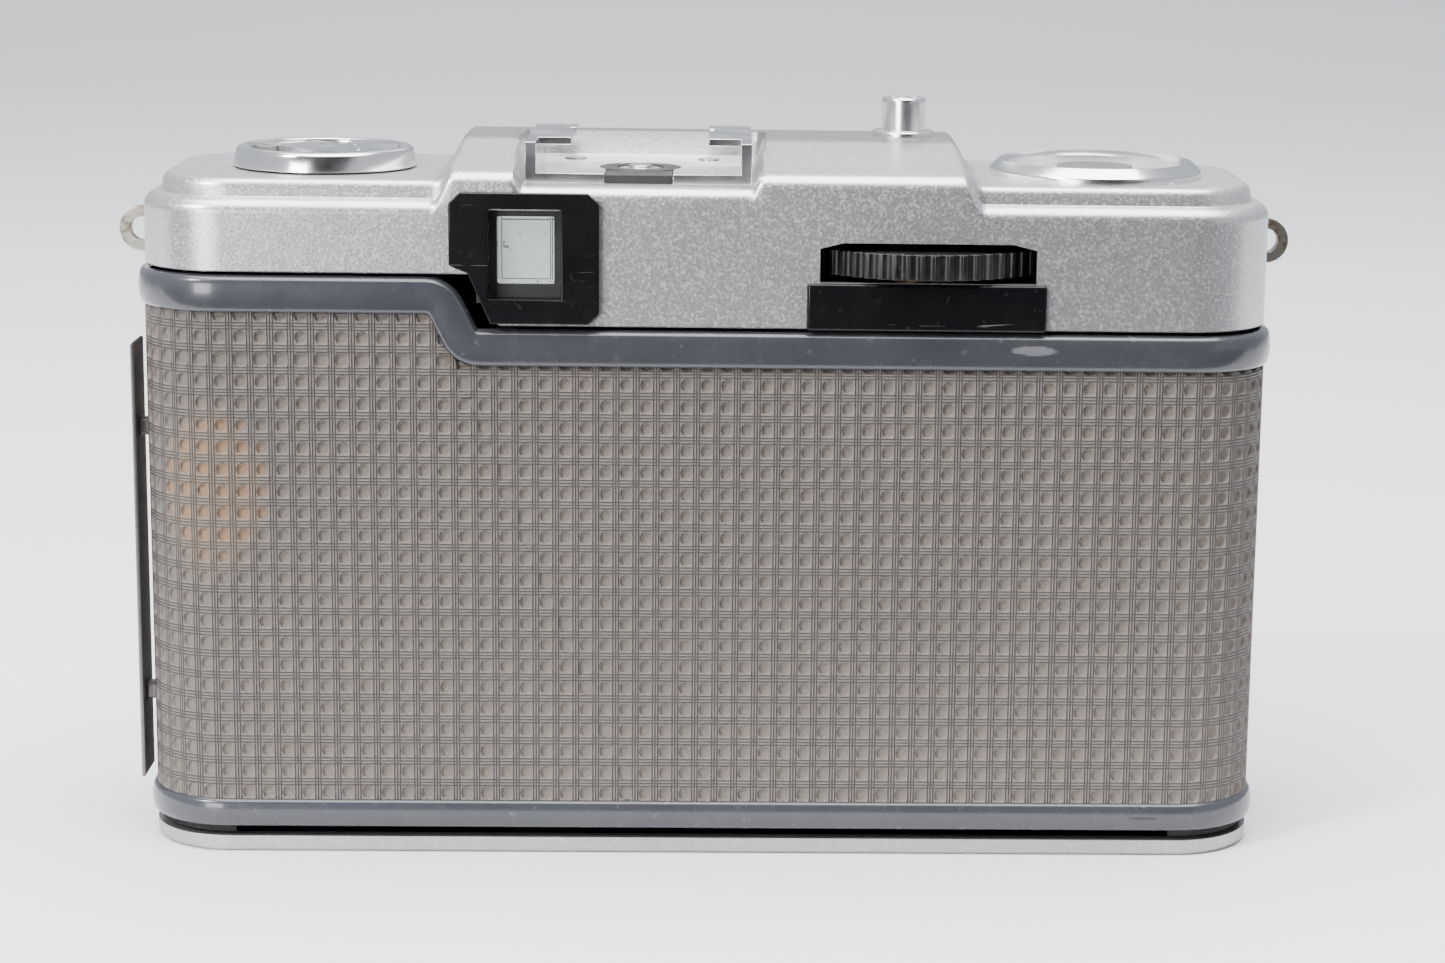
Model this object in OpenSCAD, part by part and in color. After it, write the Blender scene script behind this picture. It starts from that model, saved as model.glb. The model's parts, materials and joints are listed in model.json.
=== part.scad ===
// Half-frame 35 mm film camera, seen with the back door towards -Y.
// Origin: mouth of the tripod socket, under the lens. +X right, +Y towards the subject, +Z up.

/* [Body] */
// Width of the body over the base plate
body_w = 107; // [106:0.5:108]
// Distance from the socket axis to the back face
back_y = 14; // [14:0.1:14.4]
// Distance from the socket axis to the front face
front_y = 15; // [15:0.1:15.6]
// Corner radius of the body in plan
corner_r = 8; // [7.5:0.1:8.5]
// Thickness of the base plate
base_t = 1.56; // [1.3:0.02:1.7]

/* [Top cover] */
// Height of the cover's lower edge
cover_z = 51.2; // [51:0.1:51.4]
// Height of the cover's shoulders
shoulder_z = 64.5; // [64:0.1:64.6]
// Height of the flat strip along the front of the hump
hump_z = 67.2; // [67:0.1:67.4]

/* [Back door] */
// Height of the door's upper edge over the film take-up side
door_z = 50.8; // [50.6:0.1:50.8]
// Height of the door's upper edge over the cassette side
door_step_z = 55.7; // [55.4:0.1:55.7]
// Height of the painted bead along the door's edges
rim_h = 3; // [2.4:0.1:3.4]

/* [Lens] */
// Height of the lens axis
lens_z = 27; // [26.5:0.1:27.5]
// Outer radius of the aperture ring
ring_r = 23; // [22:0.5:23]
// How far the lens stands in front of the body
lens_len = 19; // [18:0.5:20]

/* [Controls] */
// Distance of the rewind knob from the lens axis
knob_x = 37; // [36.5:0.1:37.3]
// Radius of the rewind knob at its foot
knob_r = 8.75; // [8:0.05:9]
// Distance of the frame counter from the lens axis
counter_x = 37.3; // [37:0.1:37.5]
// Radius of the film advance wheel
wheel_r = 12.8; // [12.4:0.1:13]
// Radius of the shutter button
button_r = 2.2; // [1.8:0.1:2.4]

/* [Hidden] */
$fn = 64;
hull_fn = 32;

half_w = body_w / 2;
skin_t = 0.6;          // door skin
leather_t = 0.5;       // leatherette
rim_proud = 0.4;       // painted bead over the leatherette
wrap_y = -2.9;         // where the door's side walls end
door_low_z = 2.46;
low_rim_z = 5.3;
leather_z = door_z - rim_h - 0.5;
leather_step_z = door_step_z - rim_h - 0.6;
slant_x = -21.3;       // foot of the slanted step in the door's upper edge
slant_run = 3;
core_x = half_w - 1.4;
core_back_y = -back_y + 1.7;
core_front_y = front_y - 0.6;
deck_z = 50.4;
film_y = -back_y + 4.4;
gate_w = 18;
gate_h = 24;
film_half = 18.5;      // half height of the film track
chamber_r = 12.7;
spool_room_r = 12.2;
well_r = 7.6;          // room round the sprocket
wall_t = 1.4;          // walls of the casting
room_z0 = 3.5;
room_z1 = 49;
lens_room_r = 14.5;
groove_r = 1.75;       // groove for the hinge in the casting
door_gap = 0.4;        // between the door's ends and the front half
screw_x = 46;
screw_y = [-4, 8];
screw_r = 0.8;
advance_x = 20.5;      // axis shared by the wheel, its gear and the sprocket
advance_y = -3.4;
hinge_x = half_w - 0.2;
hinge_y = -1.6;
hinge_pin_r = 0.7;
knuckle_r = 1.0;
pin_gap = 0.05;        // running fit, radial
cover_t = 0.8;
plateau_z = shoulder_z - 1.7;
shoe_x = -6.6;
shoe_w = 21.2;
shoe_y0 = -10.2;
shoe_y1 = 8.8;
shoe_floor_z = 65.1;
trough_z = 64.2;
eye_x0 = -24;
eye_x1 = -10.1;
eye_z1 = 63.7;
finder_x = -17;
slot_x0 = 10.4;
slot_x1 = 30.6;
slot_z0 = 55.6;
slot_z1 = 59.3;
wheel_z0 = 56.1;
wheel_z1 = 58.5;
shaft_r = 1.5;
gear_z0 = 51.2;
gear_t = 2.2;
wheel_teeth = 22;
spool_teeth = 28;
gear_dist = sqrt(pow(counter_x - advance_x, 2) + pow(advance_y, 2));
gear_m = 2 * gear_dist / (wheel_teeth + spool_teeth);
mesh_dir = atan2(-advance_y, counter_x - advance_x);
button_x = 19.2;
button_y = 9.8;
button_top_z = 71;
rod_x = 6.5;
rod_y = 11;
arm_z0 = 61.2;         // arm under the shutter button
spring_z0 = deck_z + 0.25;
spring_r = 1.3;
wire_r = 0.2;
crank_dir = -40;
crank_hinge = 4.5;     // from the knob's axis to the crank's hinge
crank_z0 = 65.7;
crank_axis_z = 66;
crank_half = 2.9;      // half width of the crank
knob_z0 = shoulder_z + 0.1;
knob_z1 = 66.5;
counter_z1 = 66;
lug_z = 58.3;
hump_half = 25.4;      // half width of the hump at its foot
cell_r = 19.9;         // selenium ring
bush_r = 5;
socket_r = 2.6;
socket_len = 7;

// ---- shared shapes ----

module rounded_rect(x0, x1, y0, y1, r) {
    translate([x0 + r, y0]) square([x1 - x0 - 2 * r, y1 - y0]);
    translate([x0, y0 + r]) square([x1 - x0, y1 - y0 - 2 * r]);
    for (x = [x0 + r, x1 - r], y = [y0 + r, y1 - r]) translate([x, y]) circle(r);
}

module plan(inset) {
    rounded_rect(-half_w + inset, half_w - inset, -back_y + inset, front_y - inset, corner_r - inset);
}

module box(x0, x1, y0, y1, z0, z1) {
    translate([x0, y0, z0]) cube([x1 - x0, y1 - y0, z1 - z0]);
}

module rod(x, y, z0, z1, r) {
    translate([x, y, z0]) cylinder(h = z1 - z0, r = r);
}

module tube(x, y, z0, z1, r, bore) {
    translate([x, y, z0]) difference() {
        cylinder(h = z1 - z0, r = r);
        translate([0, 0, -1]) cylinder(h = z1 - z0 + 2, r = bore);
    }
}

// A cylinder or ring along the lens axis
module lens_rod(y0, y1, r) {
    translate([0, y0, lens_z]) rotate([-90, 0, 0]) cylinder(h = y1 - y0, r = r);
}

module lens_ring(y0, y1, r, bore) {
    difference() {
        lens_rod(y0, y1, r);
        lens_rod(y0 - 1, y1 + 1, bore);
    }
}

// A block with a rounded top edge, as one hull
module soft_slab(x0, x1, y0, y1, z0, z1, r, e) {
    hull() for (a = [0, 30, 60, 90]) {
        inset = e * (1 - cos(a));
        for (x = [x0 + r, x1 - r], y = [y0 + r, y1 - r])
            translate([x, y, z0]) cylinder(h = z1 - z0 - e + e * sin(a), r = r - inset, $fn = hull_fn);
    }
}

// The region between the door's lower and upper edges, seen from behind
module door_outline(low, high, step, slant) {
    translate([0, front_y, 0]) rotate([90, 0, 0]) linear_extrude(front_y + back_y + 4)
        polygon([[-half_w - 4, low], [half_w + 4, low], [half_w + 4, high],
                 [slant, high], [slant - slant_run * 0.85, step], [-half_w - 4, step]]);
}

// A wall that wraps the back and both ends, between two insets of the plan
module wrap_wall(outer, inner, y_end) {
    linear_extrude(60) difference() {
        plan(outer);
        plan(inner);
        translate([-half_w - 5, y_end]) square([body_w + 10, front_y + 10 - y_end]);
    }
}

module gear_2d(teeth, m) {
    pitch_r = teeth * m / 2;
    root_r = pitch_r - 1.2 * m;
    tip_r = pitch_r + 0.85 * m;
    circle(root_r);
    for (i = [0 : teeth - 1]) rotate(i * 360 / teeth)
        polygon([[root_r - 0.3, -0.95 * m], [pitch_r, -0.66 * m], [tip_r, -0.3 * m],
                 [tip_r, 0.3 * m], [pitch_r, 0.66 * m], [root_r - 0.3, 0.95 * m]]);
}

// ---- body ----

// The front half of the plan, between two insets
module front_band(outer, inner) {
    difference() {
        plan(outer);
        plan(inner);
        translate([-half_w - 5, -back_y - 5]) square([body_w + 10, back_y + 5 + wrap_y + door_gap]);
    }
}

module hinge_groove() rod(hinge_x, hinge_y, 0, 60, groove_r);

// Deck plates carry the casting's walls between them
module deck_plan() {
    rounded_rect(-core_x, core_x, core_back_y, core_front_y, corner_r - 1);
    difference() {
        plan(leather_t);
        translate([-half_w - 5, -back_y - 5]) square([body_w + 10, back_y + 5 + wrap_y + door_gap]);
    }
}

module body_front() color("dimgray") difference() {
    translate([0, 0, room_z0]) linear_extrude(room_z1 - room_z0) front_band(leather_t, leather_t + wall_t);
    hinge_groove();
    lens_rod(0, front_y + 1, lens_room_r);
}

module front_rims() color("slategray") difference() {
    for (z = [[door_low_z, low_rim_z], [leather_z + 0.1, deck_z]])
        translate([0, 0, z[0]]) linear_extrude(z[1] - z[0]) front_band(-0.2, leather_t);
    hinge_groove();
    lens_rod(0, front_y + 1, ring_r - 0.5);
}

module deck_lower() color("dimgray") difference() {
    union() {
        translate([0, 0, base_t]) linear_extrude(room_z0 - base_t)
            rounded_rect(-core_x, core_x, core_back_y, core_front_y, corner_r - 1);
        translate([0, 0, door_low_z]) linear_extrude(room_z0 - door_low_z) deck_plan();
    }
    hinge_groove();
    rod(0, 0, 0, 5, bush_r);
    rod(advance_x, advance_y, 0, 5, 2.6);
    for (x = [-screw_x, screw_x], y = screw_y) rod(x, y, 0, 5, screw_r);
}

module deck_upper() color("dimgray") difference() {
    union() {
        translate([0, 0, room_z1]) linear_extrude(deck_z - room_z1) deck_plan();
        // step under the raised part of the door
        box(-core_x, slant_x - slant_run - 0.6, core_back_y + 6, -4.5, deck_z, deck_z + 1.6);
        box(-core_x + 7, slant_x - slant_run - 0.6, core_back_y, core_back_y + 1.5,
            deck_z, door_step_z - 0.2);
    }
    hinge_groove();
    rod(-knob_x, 0, 48, deck_z + 6, 3.6);
    rod(advance_x, advance_y, 40, 60, shaft_r + pin_gap);
    rod(counter_x, 0, 48, deck_z + 1, shaft_r + pin_gap);
}

// A chamber's walls: a round wall in front, open towards the door
module chamber_walls(x, r, wall)
    translate([x, 0, room_z0]) linear_extrude(room_z1 - room_z0) difference() {
    union() {
        circle(r + wall);
        translate([-r - wall, film_y]) square([2 * (r + wall), -film_y]);
    }
    circle(r);
    translate([-r, core_back_y - 9]) square([2 * r, -core_back_y + 9]);
    translate([-r - 9, core_back_y - 9]) square([2 * r + 18, film_y - core_back_y + 9]);
}

// The room inside the casting's front wall and the door
module inner_room() linear_extrude(60) plan(leather_t + wall_t + 0.02);

module cassette_chamber() color("dimgray") intersection() {
    union() {
        chamber_walls(-knob_x, chamber_r, wall_t);
        box(-core_x, -knob_x - chamber_r, -8.5, wrap_y, room_z0, room_z1);
    }
    inner_room();
}

module spool_chamber() color("dimgray") intersection() {
    inner_room();
    spool_walls();
}

module spool_walls() difference() {
    union() {
        chamber_walls(counter_x, spool_room_r, wall_t);
        translate([advance_x, advance_y, room_z0]) linear_extrude(room_z1 - room_z0) difference() {
            circle(well_r + wall_t);
            translate([-20, -advance_y + film_y - 20]) square([40, 20]);
        }
        box(counter_x + spool_room_r, core_x, -8.5, -4, room_z0, room_z1);
    }
    rod(counter_x, 0, 0, 60, spool_room_r);
    rod(advance_x, advance_y, 0, 60, well_r);
    box(advance_x - well_r, counter_x + spool_room_r, -back_y, advance_y, 0, 60);
}

module film_gate() color("dimgray") difference() {
    x0 = -knob_x + chamber_r + wall_t;
    x1 = advance_x - well_r - wall_t;
    union() {
        box(x0, x1, film_y, film_y + 1.2, room_z0, room_z1);
        for (z = [[room_z0, lens_z - film_half], [lens_z + film_half, room_z1]])
            box(x0, x1, core_back_y, film_y, z[0], z[1]);
        // light tunnel to the lens
        box(-gate_w / 2 - 1, gate_w / 2 + 1, film_y, 2.4, lens_z - gate_h / 2 - 1, lens_z + gate_h / 2 + 1);
    }
    box(-gate_w / 2, gate_w / 2, -back_y, 4, lens_z - gate_h / 2, lens_z + gate_h / 2);
}

module front_leatherette() color("rosybrown") difference() {
    translate([0, 0, low_rim_z]) linear_extrude(leather_z + 0.1 - low_rim_z) front_band(0, leather_t);
    hinge_groove();
    lens_rod(0, front_y + 1, 20);
}

module base_plate() color("silver") difference() {
    union() {
        linear_extrude(0.3) plan(0.35);
        translate([0, 0, 0.3]) linear_extrude(base_t - 0.3) plan(0);
    }
    rod(0, 0, -1, 5, bush_r);
    rod(advance_x, advance_y, -1, 5, 2.1);
    for (x = [-screw_x, screw_x], y = screw_y) {
        rod(x, y, -1, 5, screw_r);
        rod(x, y, -1, 0.7, 1.6);
    }
}

module tripod_bush() color("gainsboro") difference() {
    union() {
        rod(0, 0, 0, 5, bush_r);
        rod(0, 0, 5, socket_len + 1.6, 3.6);
    }
    rod(0, 0, -1, socket_len, socket_r);
}

module base_screws() color("gray") for (x = [-screw_x, screw_x], y = screw_y) difference() {
    union() {
        rod(x, y, 0.1, 0.7, 1.6);
        rod(x, y, 0.7, 3.2, screw_r);
    }
    box(x - 2, x + 2, y - 0.2, y + 0.2, 0, 0.4);
}

// ---- top cover ----

// A bar along X with a rounded end, for the hump's edges
module edge_bar(half_len, y, z, r) {
    translate([-half_len, y, z]) rotate([0, 90, 0]) cylinder(h = 2 * half_len, r = r, $fn = hull_fn);
}

module hump_solid() {
    r = 1.2;
    top_half = hump_half - 1.6;
    hull() {
        box(-hump_half, hump_half, -back_y, front_y, plateau_z - 1.6, plateau_z - 0.5);
        for (e = [[0, r], [0.35, r * 0.75], [0.5, r * 0.5]]) {
            edge_bar(top_half - 0.5 + e[0], -back_y + 0.3 + r, hump_z - 1.8 - r, e[1]);
            edge_bar(top_half - 0.5 + e[0], 5, hump_z - r, e[1]);
            edge_bar(top_half - 0.5 + e[0], front_y - 0.3 - r, hump_z - r, e[1]);
        }
    }
}

module top_cover() color("lightgray") difference() {
    union() {
        soft_slab(-half_w + 0.2, half_w - 0.2, -back_y, front_y, cover_z, plateau_z, corner_r, 1.1);
        soft_slab(-half_w + 1.4, half_w - 1.4, -back_y + 1.2, front_y - 1.2,
                  plateau_z - 1, shoulder_z, corner_r - 1, 0.6);
        hump_solid();
    }
    // hollow inside
    soft_slab(-half_w + 1.1, half_w - 1.1, -back_y + 0.9, front_y - 0.9,
              cover_z - 1, plateau_z - 0.9, corner_r - 1, 0.4);
    soft_slab(-half_w + 9, half_w - 9, -back_y + 4.4, front_y - 2.6,
              plateau_z - 2, shoulder_z - cover_t, 3, 0.2);
    soft_slab(-22, 22, 9.8, front_y - 2, plateau_z - 2, hump_z - 1, 1, 0.2);
    // trough for the accessory shoe
    hull() {
        box(shoe_x - shoe_w / 2 - 0.02, shoe_x + shoe_w / 2 + 0.02, -back_y - 2, shoe_y1 + 0.2,
            trough_z, trough_z + 0.1);
        box(shoe_x - shoe_w / 2 - 3, shoe_x + shoe_w / 2 + 3, -back_y - 2, shoe_y1 + 1.4,
            hump_z + 1, hump_z + 1.1);
    }
    // room for the raised part of the door
    difference() {
        door_outline(cover_z - 4, cover_z - 1, door_step_z + 0.3, slant_x + 0.3);
        box(-half_w - 9, half_w + 9, wrap_y + 0.4, front_y + 9, 0, 90);
    }
    // openings
    rod(-knob_x, 0, 60, 70, 3.35);
    rod(counter_x, 0, 60, 70, 9);
    rod(button_x, button_y, 60, 70, 2.6);
    box(eye_x0 + 2.6, eye_x1 - 2.6, -back_y - 1, -10, 53, 62);
    hull() {
        box(slot_x0, slot_x1, -back_y - 1, -12, slot_z0, slot_z1 - 0.4);
        box(slot_x0 + 2, slot_x1 - 2, -back_y - 1, -12, slot_z0, slot_z1);
    }
    box(finder_x - 5.2, finder_x + 5.2, 10, front_y + 1, 53.6, 62.2);
}

module wheel_guard() color("black")
    box(slot_x0 - 1.2, slot_x1 + 1, -back_y - 0.6, -back_y, cover_z - 0.1, slot_z0 - 0.05);

module eyepiece_frame() color("black") difference() {
    translate([0, -back_y + 1, 0]) rotate([90, 0, 0]) linear_extrude(1.9) polygon([
        [eye_x0 + 1, eye_z1], [eye_x0, eye_z1 - 1], [eye_x0, 56.9], [-22.25, 56.2], [-20.2, 51.5],
        [eye_x1 - 1, 51.5], [eye_x1, 52.5], [eye_x1, eye_z1 - 1], [eye_x1 - 1, eye_z1]]);
    box(finder_x - 3.35, finder_x + 3.35, -back_y - 3, -back_y + 2, 53.8, 62.2);
    // the part behind the cover's wall is only as large as its opening
    difference() {
        box(eye_x0 - 1, eye_x1 + 1, -back_y, -back_y + 2, 50, 65);
        box(eye_x0 + 2.7, eye_x1 - 2.7, -back_y - 1, -back_y + 3, 53.1, 61.9);
    }
}

module eyepiece_lens() color("lightcyan")
    box(finder_x - 2.65, finder_x + 2.65, -back_y + 1.2, -back_y + 2.4, 55, 61.3);

module finder_tube() color("black") difference() {
    box(finder_x - 4.6, finder_x + 4.6, -back_y + 1.05, 11.9, 53.2, 61.9);
    box(finder_x - 2.7, finder_x + 2.7, -back_y, -back_y + 2.5, 54.95, 61.35);
    box(finder_x - 3.6, finder_x + 3.6, -back_y + 2.5, 13, 54, 61.4);
}

module finder_window() color("gray") difference() {
    box(finder_x - 6.4, finder_x + 6.4, front_y, front_y + 0.8, 52.6, 63.2);
    box(finder_x - 4.9, finder_x + 4.9, front_y - 1, front_y + 2, 54, 61.8);
}

module finder_objective() color("lightblue")
    box(finder_x - 5, finder_x + 5, 12, 13.2, 53.7, 61.6);

// ---- accessory shoe ----

module hot_shoe() color("silver") difference() {
    x0 = shoe_x - shoe_w / 2;
    x1 = shoe_x + shoe_w / 2;
    union() {
        box(x0, x1, shoe_y0, shoe_y1, trough_z, shoe_floor_z);
        box(x0, x0 + 1, shoe_y0, shoe_y1, trough_z, 68);
        box(x1 - 1, x1, shoe_y0, shoe_y1, trough_z, 68);
        box(x0, x0 + 4.1, -5.2, shoe_y1, 67.3, 68);
        box(x1 - 4.1, x1, -5.2, shoe_y1, 67.3, 68);
    }
    rod(shoe_x, -3.4, 60, 66, 3.9);
    box(shoe_x - 3.2, shoe_x + 3.2, shoe_y0 - 1, -3.4, 60, 66);
    for (x = [-6.5, 6.5]) rod(shoe_x + x, 4, 60, 70, 1.1);
}

module shoe_insulator() color("black") difference() {
    union() {
        rod(shoe_x, -3.4, trough_z, shoe_floor_z, 3.85);
        box(shoe_x - 3.15, shoe_x + 3.15, shoe_y0, -3.4, trough_z, shoe_floor_z - 0.1);
    }
    rod(shoe_x, -3.4, 60, 66, 2.2);
}

module shoe_contact() color("lightgray") union() {
    rod(shoe_x, -3.4, trough_z, shoe_floor_z - 0.1, 2.15);
    rod(shoe_x, -3.4, shoe_floor_z - 0.1, shoe_floor_z + 0.2, 1.1);
}

module shoe_screws() color("silver") for (x = [-6.5, 6.5]) difference() {
    rod(shoe_x + x, 4, trough_z, shoe_floor_z + 0.1, 1.05);
    box(shoe_x + x - 1.2, shoe_x + x + 1.2, 3.85, 4.15, shoe_floor_z - 0.15, 67);
}

// ---- strap lugs ----

module lug(side, x_end) color("tan") difference() {
    union() {
        translate([side * (x_end - 2.17), 0.6, lug_z]) rotate([90, 0, 0]) cylinder(h = 1.2, r = 2.17);
        box(side > 0 ? half_w - 0.6 : -x_end + 2.17, side > 0 ? x_end - 2.17 : -half_w + 0.6,
            -0.6, 0.6, lug_z - 2.1, lug_z + 2.1);
    }
    translate([side * (x_end - 2.17), 2, lug_z]) rotate([90, 0, 0]) cylinder(h = 4, r = 1.15);
    box(-half_w + 0.2, half_w - 0.2, -5, 5, 40, 70);
}

module strap_lug_left() lug(-1, half_w + 3.3);

module strap_lug_right() lug(1, half_w + 2.9);

// ---- shutter release ----

module release_collar() color("silver")
    tube(button_x, button_y, hump_z, hump_z + 0.5, 3.1, button_r + pin_gap);

module shutter_button() color("silver") difference() {
    union() {
        rod(button_x, button_y, 63.6, button_top_z, button_r);
        rod(button_x, button_y, 63, 63.6, 2.5);
    }
    rod(button_x, button_y, button_top_z - 5, button_top_z + 1, 1.1);
}

module release_rod() color("gray") union() {
    box(rod_x - 1, button_x + 2, rod_y - 1.6, rod_y + 1.4, arm_z0, 63);
    rod(rod_x, rod_y, 52.6, arm_z0, 0.9);
}

// A helical wire as one tube: rings of points joined side by side
function coil_point(i, k, steps, turns, radius, wire, z0, height) =
    let (a = 360 * turns * i / steps, b = 360 * k / 8, r = radius + wire * cos(b))
    [button_x + r * cos(a), rod_y + r * sin(a), z0 + height * i / steps + wire * sin(b)];

module release_spring() color("slategray") {
    steps = 160;
    turns = 8;
    height = arm_z0 - spring_z0 - 0.25;
    polyhedron(
        points = [for (i = [0 : steps], k = [0 : 7])
            coil_point(i, k, steps, turns, spring_r, wire_r, spring_z0, height)],
        faces = concat(
            [for (i = [0 : steps - 1], k = [0 : 7])
                [i * 8 + k, i * 8 + (k + 1) % 8, (i + 1) * 8 + (k + 1) % 8, (i + 1) * 8 + k]],
            [[for (k = [7 : -1 : 0]) k]],
            [[for (k = [0 : 7]) steps * 8 + k]]));
}

// ---- rewind knob ----

module at_knob() translate([-knob_x, 0, 0]) rotate(crank_dir) children();

module rewind_sleeve() color("gray") tube(-knob_x, 0, 51, knob_z0 - 0.1, 3.3, 2.05);

module rewind_knob() color("silver") difference() {
    union() {
        translate([-knob_x, 0, knob_z0]) cylinder(h = knob_z1 - knob_z0, r1 = knob_r, r2 = knob_r - 0.3);
        rod(-knob_x, 0, 48.9, knob_z0 + 0.5, 2);
    }
    translate([-knob_x, 0, crank_z0 - 0.1]) cylinder(h = 2, r = 7.15);
    at_knob() rod(5, 0, knob_z0 - 1, 70, 1.8);
    at_knob() rod(8.2, 0, crank_z0 - 0.5, 70, 2.2);
}

module rewind_fork() color("gray") difference() {
    rod(-knob_x, 0, 44.5, 48.9, 3.2);
    box(-knob_x - 4, -knob_x + 4, -1, 1, 44, 47.5);
}

// A round bar along the crank's hinge
module hinge_bar(half_len, r) translate([-crank_hinge, half_len, crank_axis_z])
    rotate([90, 0, 0]) cylinder(h = 2 * half_len, r = r, $fn = hull_fn);

module rewind_crank() color("silver") at_knob() difference() {
    union() {
        intersection() {
            box(-crank_hinge, 7, -crank_half, crank_half, crank_z0, crank_z0 + 0.65);
            rod(0, 0, 60, 70, 6.9);
        }
        hinge_bar(crank_half, 0.38);
    }
    rod(5, 0, 60, 70, 0.65);
    hinge_bar(crank_half + 1, 0.22);
}

module crank_grip() color("silver") at_knob() difference() {
    union() {
        rod(5, 0, knob_z0 + 0.1, crank_z0 - 0.05, 1.5);
        rod(5, 0, crank_z0 - 0.05, crank_z0 + 0.6, 0.6);
    }
    rod(5, 0, knob_z0, knob_z0 + 0.3, 0.5);
}

module crank_pin() color("gray") at_knob() union() {
    for (y = [[-4, -3.05], [3.05, 4]])
        box(-crank_hinge - 1, -crank_hinge + 1, y[0], y[1], crank_z0 - 0.1, crank_z0 + 0.6);
    hinge_bar(crank_half + 0.5, 0.17);
}

// ---- film advance and counter ----

module thumbwheel() color("dimgray") difference() {
    rod(advance_x, advance_y, wheel_z0, wheel_z1, wheel_r);
    flutes = 60;
    for (i = [0 : flutes - 1]) translate([advance_x, advance_y, 50]) rotate(i * 360 / flutes)
        translate([wheel_r + 0.15, 0, 0]) cylinder(h = 20, r = 0.45, $fn = 16);
    rod(advance_x, advance_y, 50, 60, shaft_r);
}

module wheel_gear() color("goldenrod") union() {
    translate([advance_x, advance_y, gear_z0]) rotate(mesh_dir)
        linear_extrude(gear_t) gear_2d(wheel_teeth, gear_m);
    rod(advance_x, advance_y, gear_z0 + 0.5, wheel_z0, 4);
    rod(advance_x, advance_y, gear_z0 + 0.5, wheel_z1, shaft_r);
}

module sprocket_drum() color("darkslategray") union() {
    rod(advance_x, advance_y, 7, 47, 6);
    rod(advance_x, advance_y, 4, gear_z0, shaft_r);
    for (z = [lens_z - 14.1, lens_z + 14.1], i = [0 : 7])
        translate([advance_x, advance_y, z]) rotate(i * 45)
            translate([5.8, -0.6, -0.9]) cube([1.1, 1.2, 1.8]);
}

module take_up_spool() color("black") difference() {
    union() {
        rod(counter_x, 0, 5, 47.5, 7);
        rod(counter_x, 0, 4.2, 5, 11.4);
        rod(counter_x, 0, 47.5, 48.3, 11.4);
        rod(counter_x, 0, 48.3, gear_z0, shaft_r);
    }
    for (i = [0 : 2]) translate([counter_x, 0, 0]) rotate(i * 120) box(4, 8, -0.6, 0.6, 8, 44);
}

module spool_gear() color("goldenrod")
    translate([counter_x, 0, gear_z0]) rotate(mesh_dir + 180 + 180 / spool_teeth)
        linear_extrude(gear_t) gear_2d(spool_teeth, gear_m);

module counter_bezel() color("silver") difference() {
    union() {
        rod(counter_x, 0, shoulder_z, shoulder_z + 0.5, 10.3);
        translate([counter_x, 0, shoulder_z + 0.5])
            cylinder(h = counter_z1 - shoulder_z - 0.5, r1 = 10.3, r2 = 9.1);
    }
    rod(counter_x, 0, 60, 70, 8.45);
}

module counter_window() color("white", 0.4)
    rod(counter_x, 0, counter_z1 - 0.8, counter_z1 - 0.1, 8.4);

module counter_dial() color("ivory") union() {
    rod(counter_x, 0, shoulder_z - 0.3, shoulder_z, 8.3);
    rod(counter_x, 0, shoulder_z, shoulder_z + 0.3, 3.65);
    rod(counter_x, 0, 59.2, shoulder_z - 0.3, 1);
    translate([counter_x, 0, 60]) linear_extrude(1) gear_2d(24, 0.45);
}

// ---- hinge, seals and back door ----

module hinge_ears() color("slategray") for (z = [[3.7, 10.2], [45.4, 50.2]]) difference() {
    union() {
        rod(hinge_x, hinge_y, z[0], z[1], knuckle_r);
        intersection() {
            box(hinge_x - 0.5, hinge_x + 0.6, hinge_y, hinge_y + groove_r, z[0], z[1]);
            rod(hinge_x, hinge_y, z[0], z[1], groove_r);
        }
    }
    rod(hinge_x, hinge_y, 0, 60, hinge_pin_r);
}

module hinge_pins() color("silver") union() {
    rod(hinge_x, hinge_y, 3.9, 16, hinge_pin_r);
    rod(hinge_x, hinge_y, 39.6, 50.2, hinge_pin_r);
}

module light_seals() color("black") for (z = [4.6, 46.4])
    box(-knob_x + chamber_r + 2, advance_x - well_r - 2, core_back_y - 0.45, core_back_y, z, z + 1.6);

module back_door() color("slategray") difference() {
    union() {
        intersection() {
            wrap_wall(-rim_proud, leather_t + skin_t, wrap_y);
            door_outline(door_low_z, door_z, door_step_z, slant_x);
        }
        for (z = [[10.4, 16], [39.6, 45.2]]) {
            rod(hinge_x, hinge_y, z[0], z[1], knuckle_r);
            box(hinge_x - 0.9, hinge_x + 0.1, wrap_y - 0.4, hinge_y, z[0], z[1]);
        }
    }
    // field for the leatherette
    intersection() {
        wrap_wall(-2, leather_t, 20);
        door_outline(low_rim_z, leather_z, leather_step_z, slant_x - 2.5);
        box(-half_w - 9, half_w + 9, -back_y - 9, wrap_y + 0.001, 0, 90);
    }
    rod(hinge_x, hinge_y, 0, 60, hinge_pin_r + pin_gap);
    for (z = [14, 40]) box(-half_w - 2, -core_x - 0.1, -8.2, -5.8, z - 3.2, z + 1.4);
}

module door_leatherette() color("rosybrown") difference() {
    intersection() {
        wrap_wall(0, leather_t, wrap_y);
        door_outline(low_rim_z, leather_z, leather_step_z, slant_x - 2.5);
    }
    for (z = [14, 40]) box(-half_w - 2, -core_x - 0.1, -8.2, -5.8, z - 3.2, z + 1.4);
}

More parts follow.
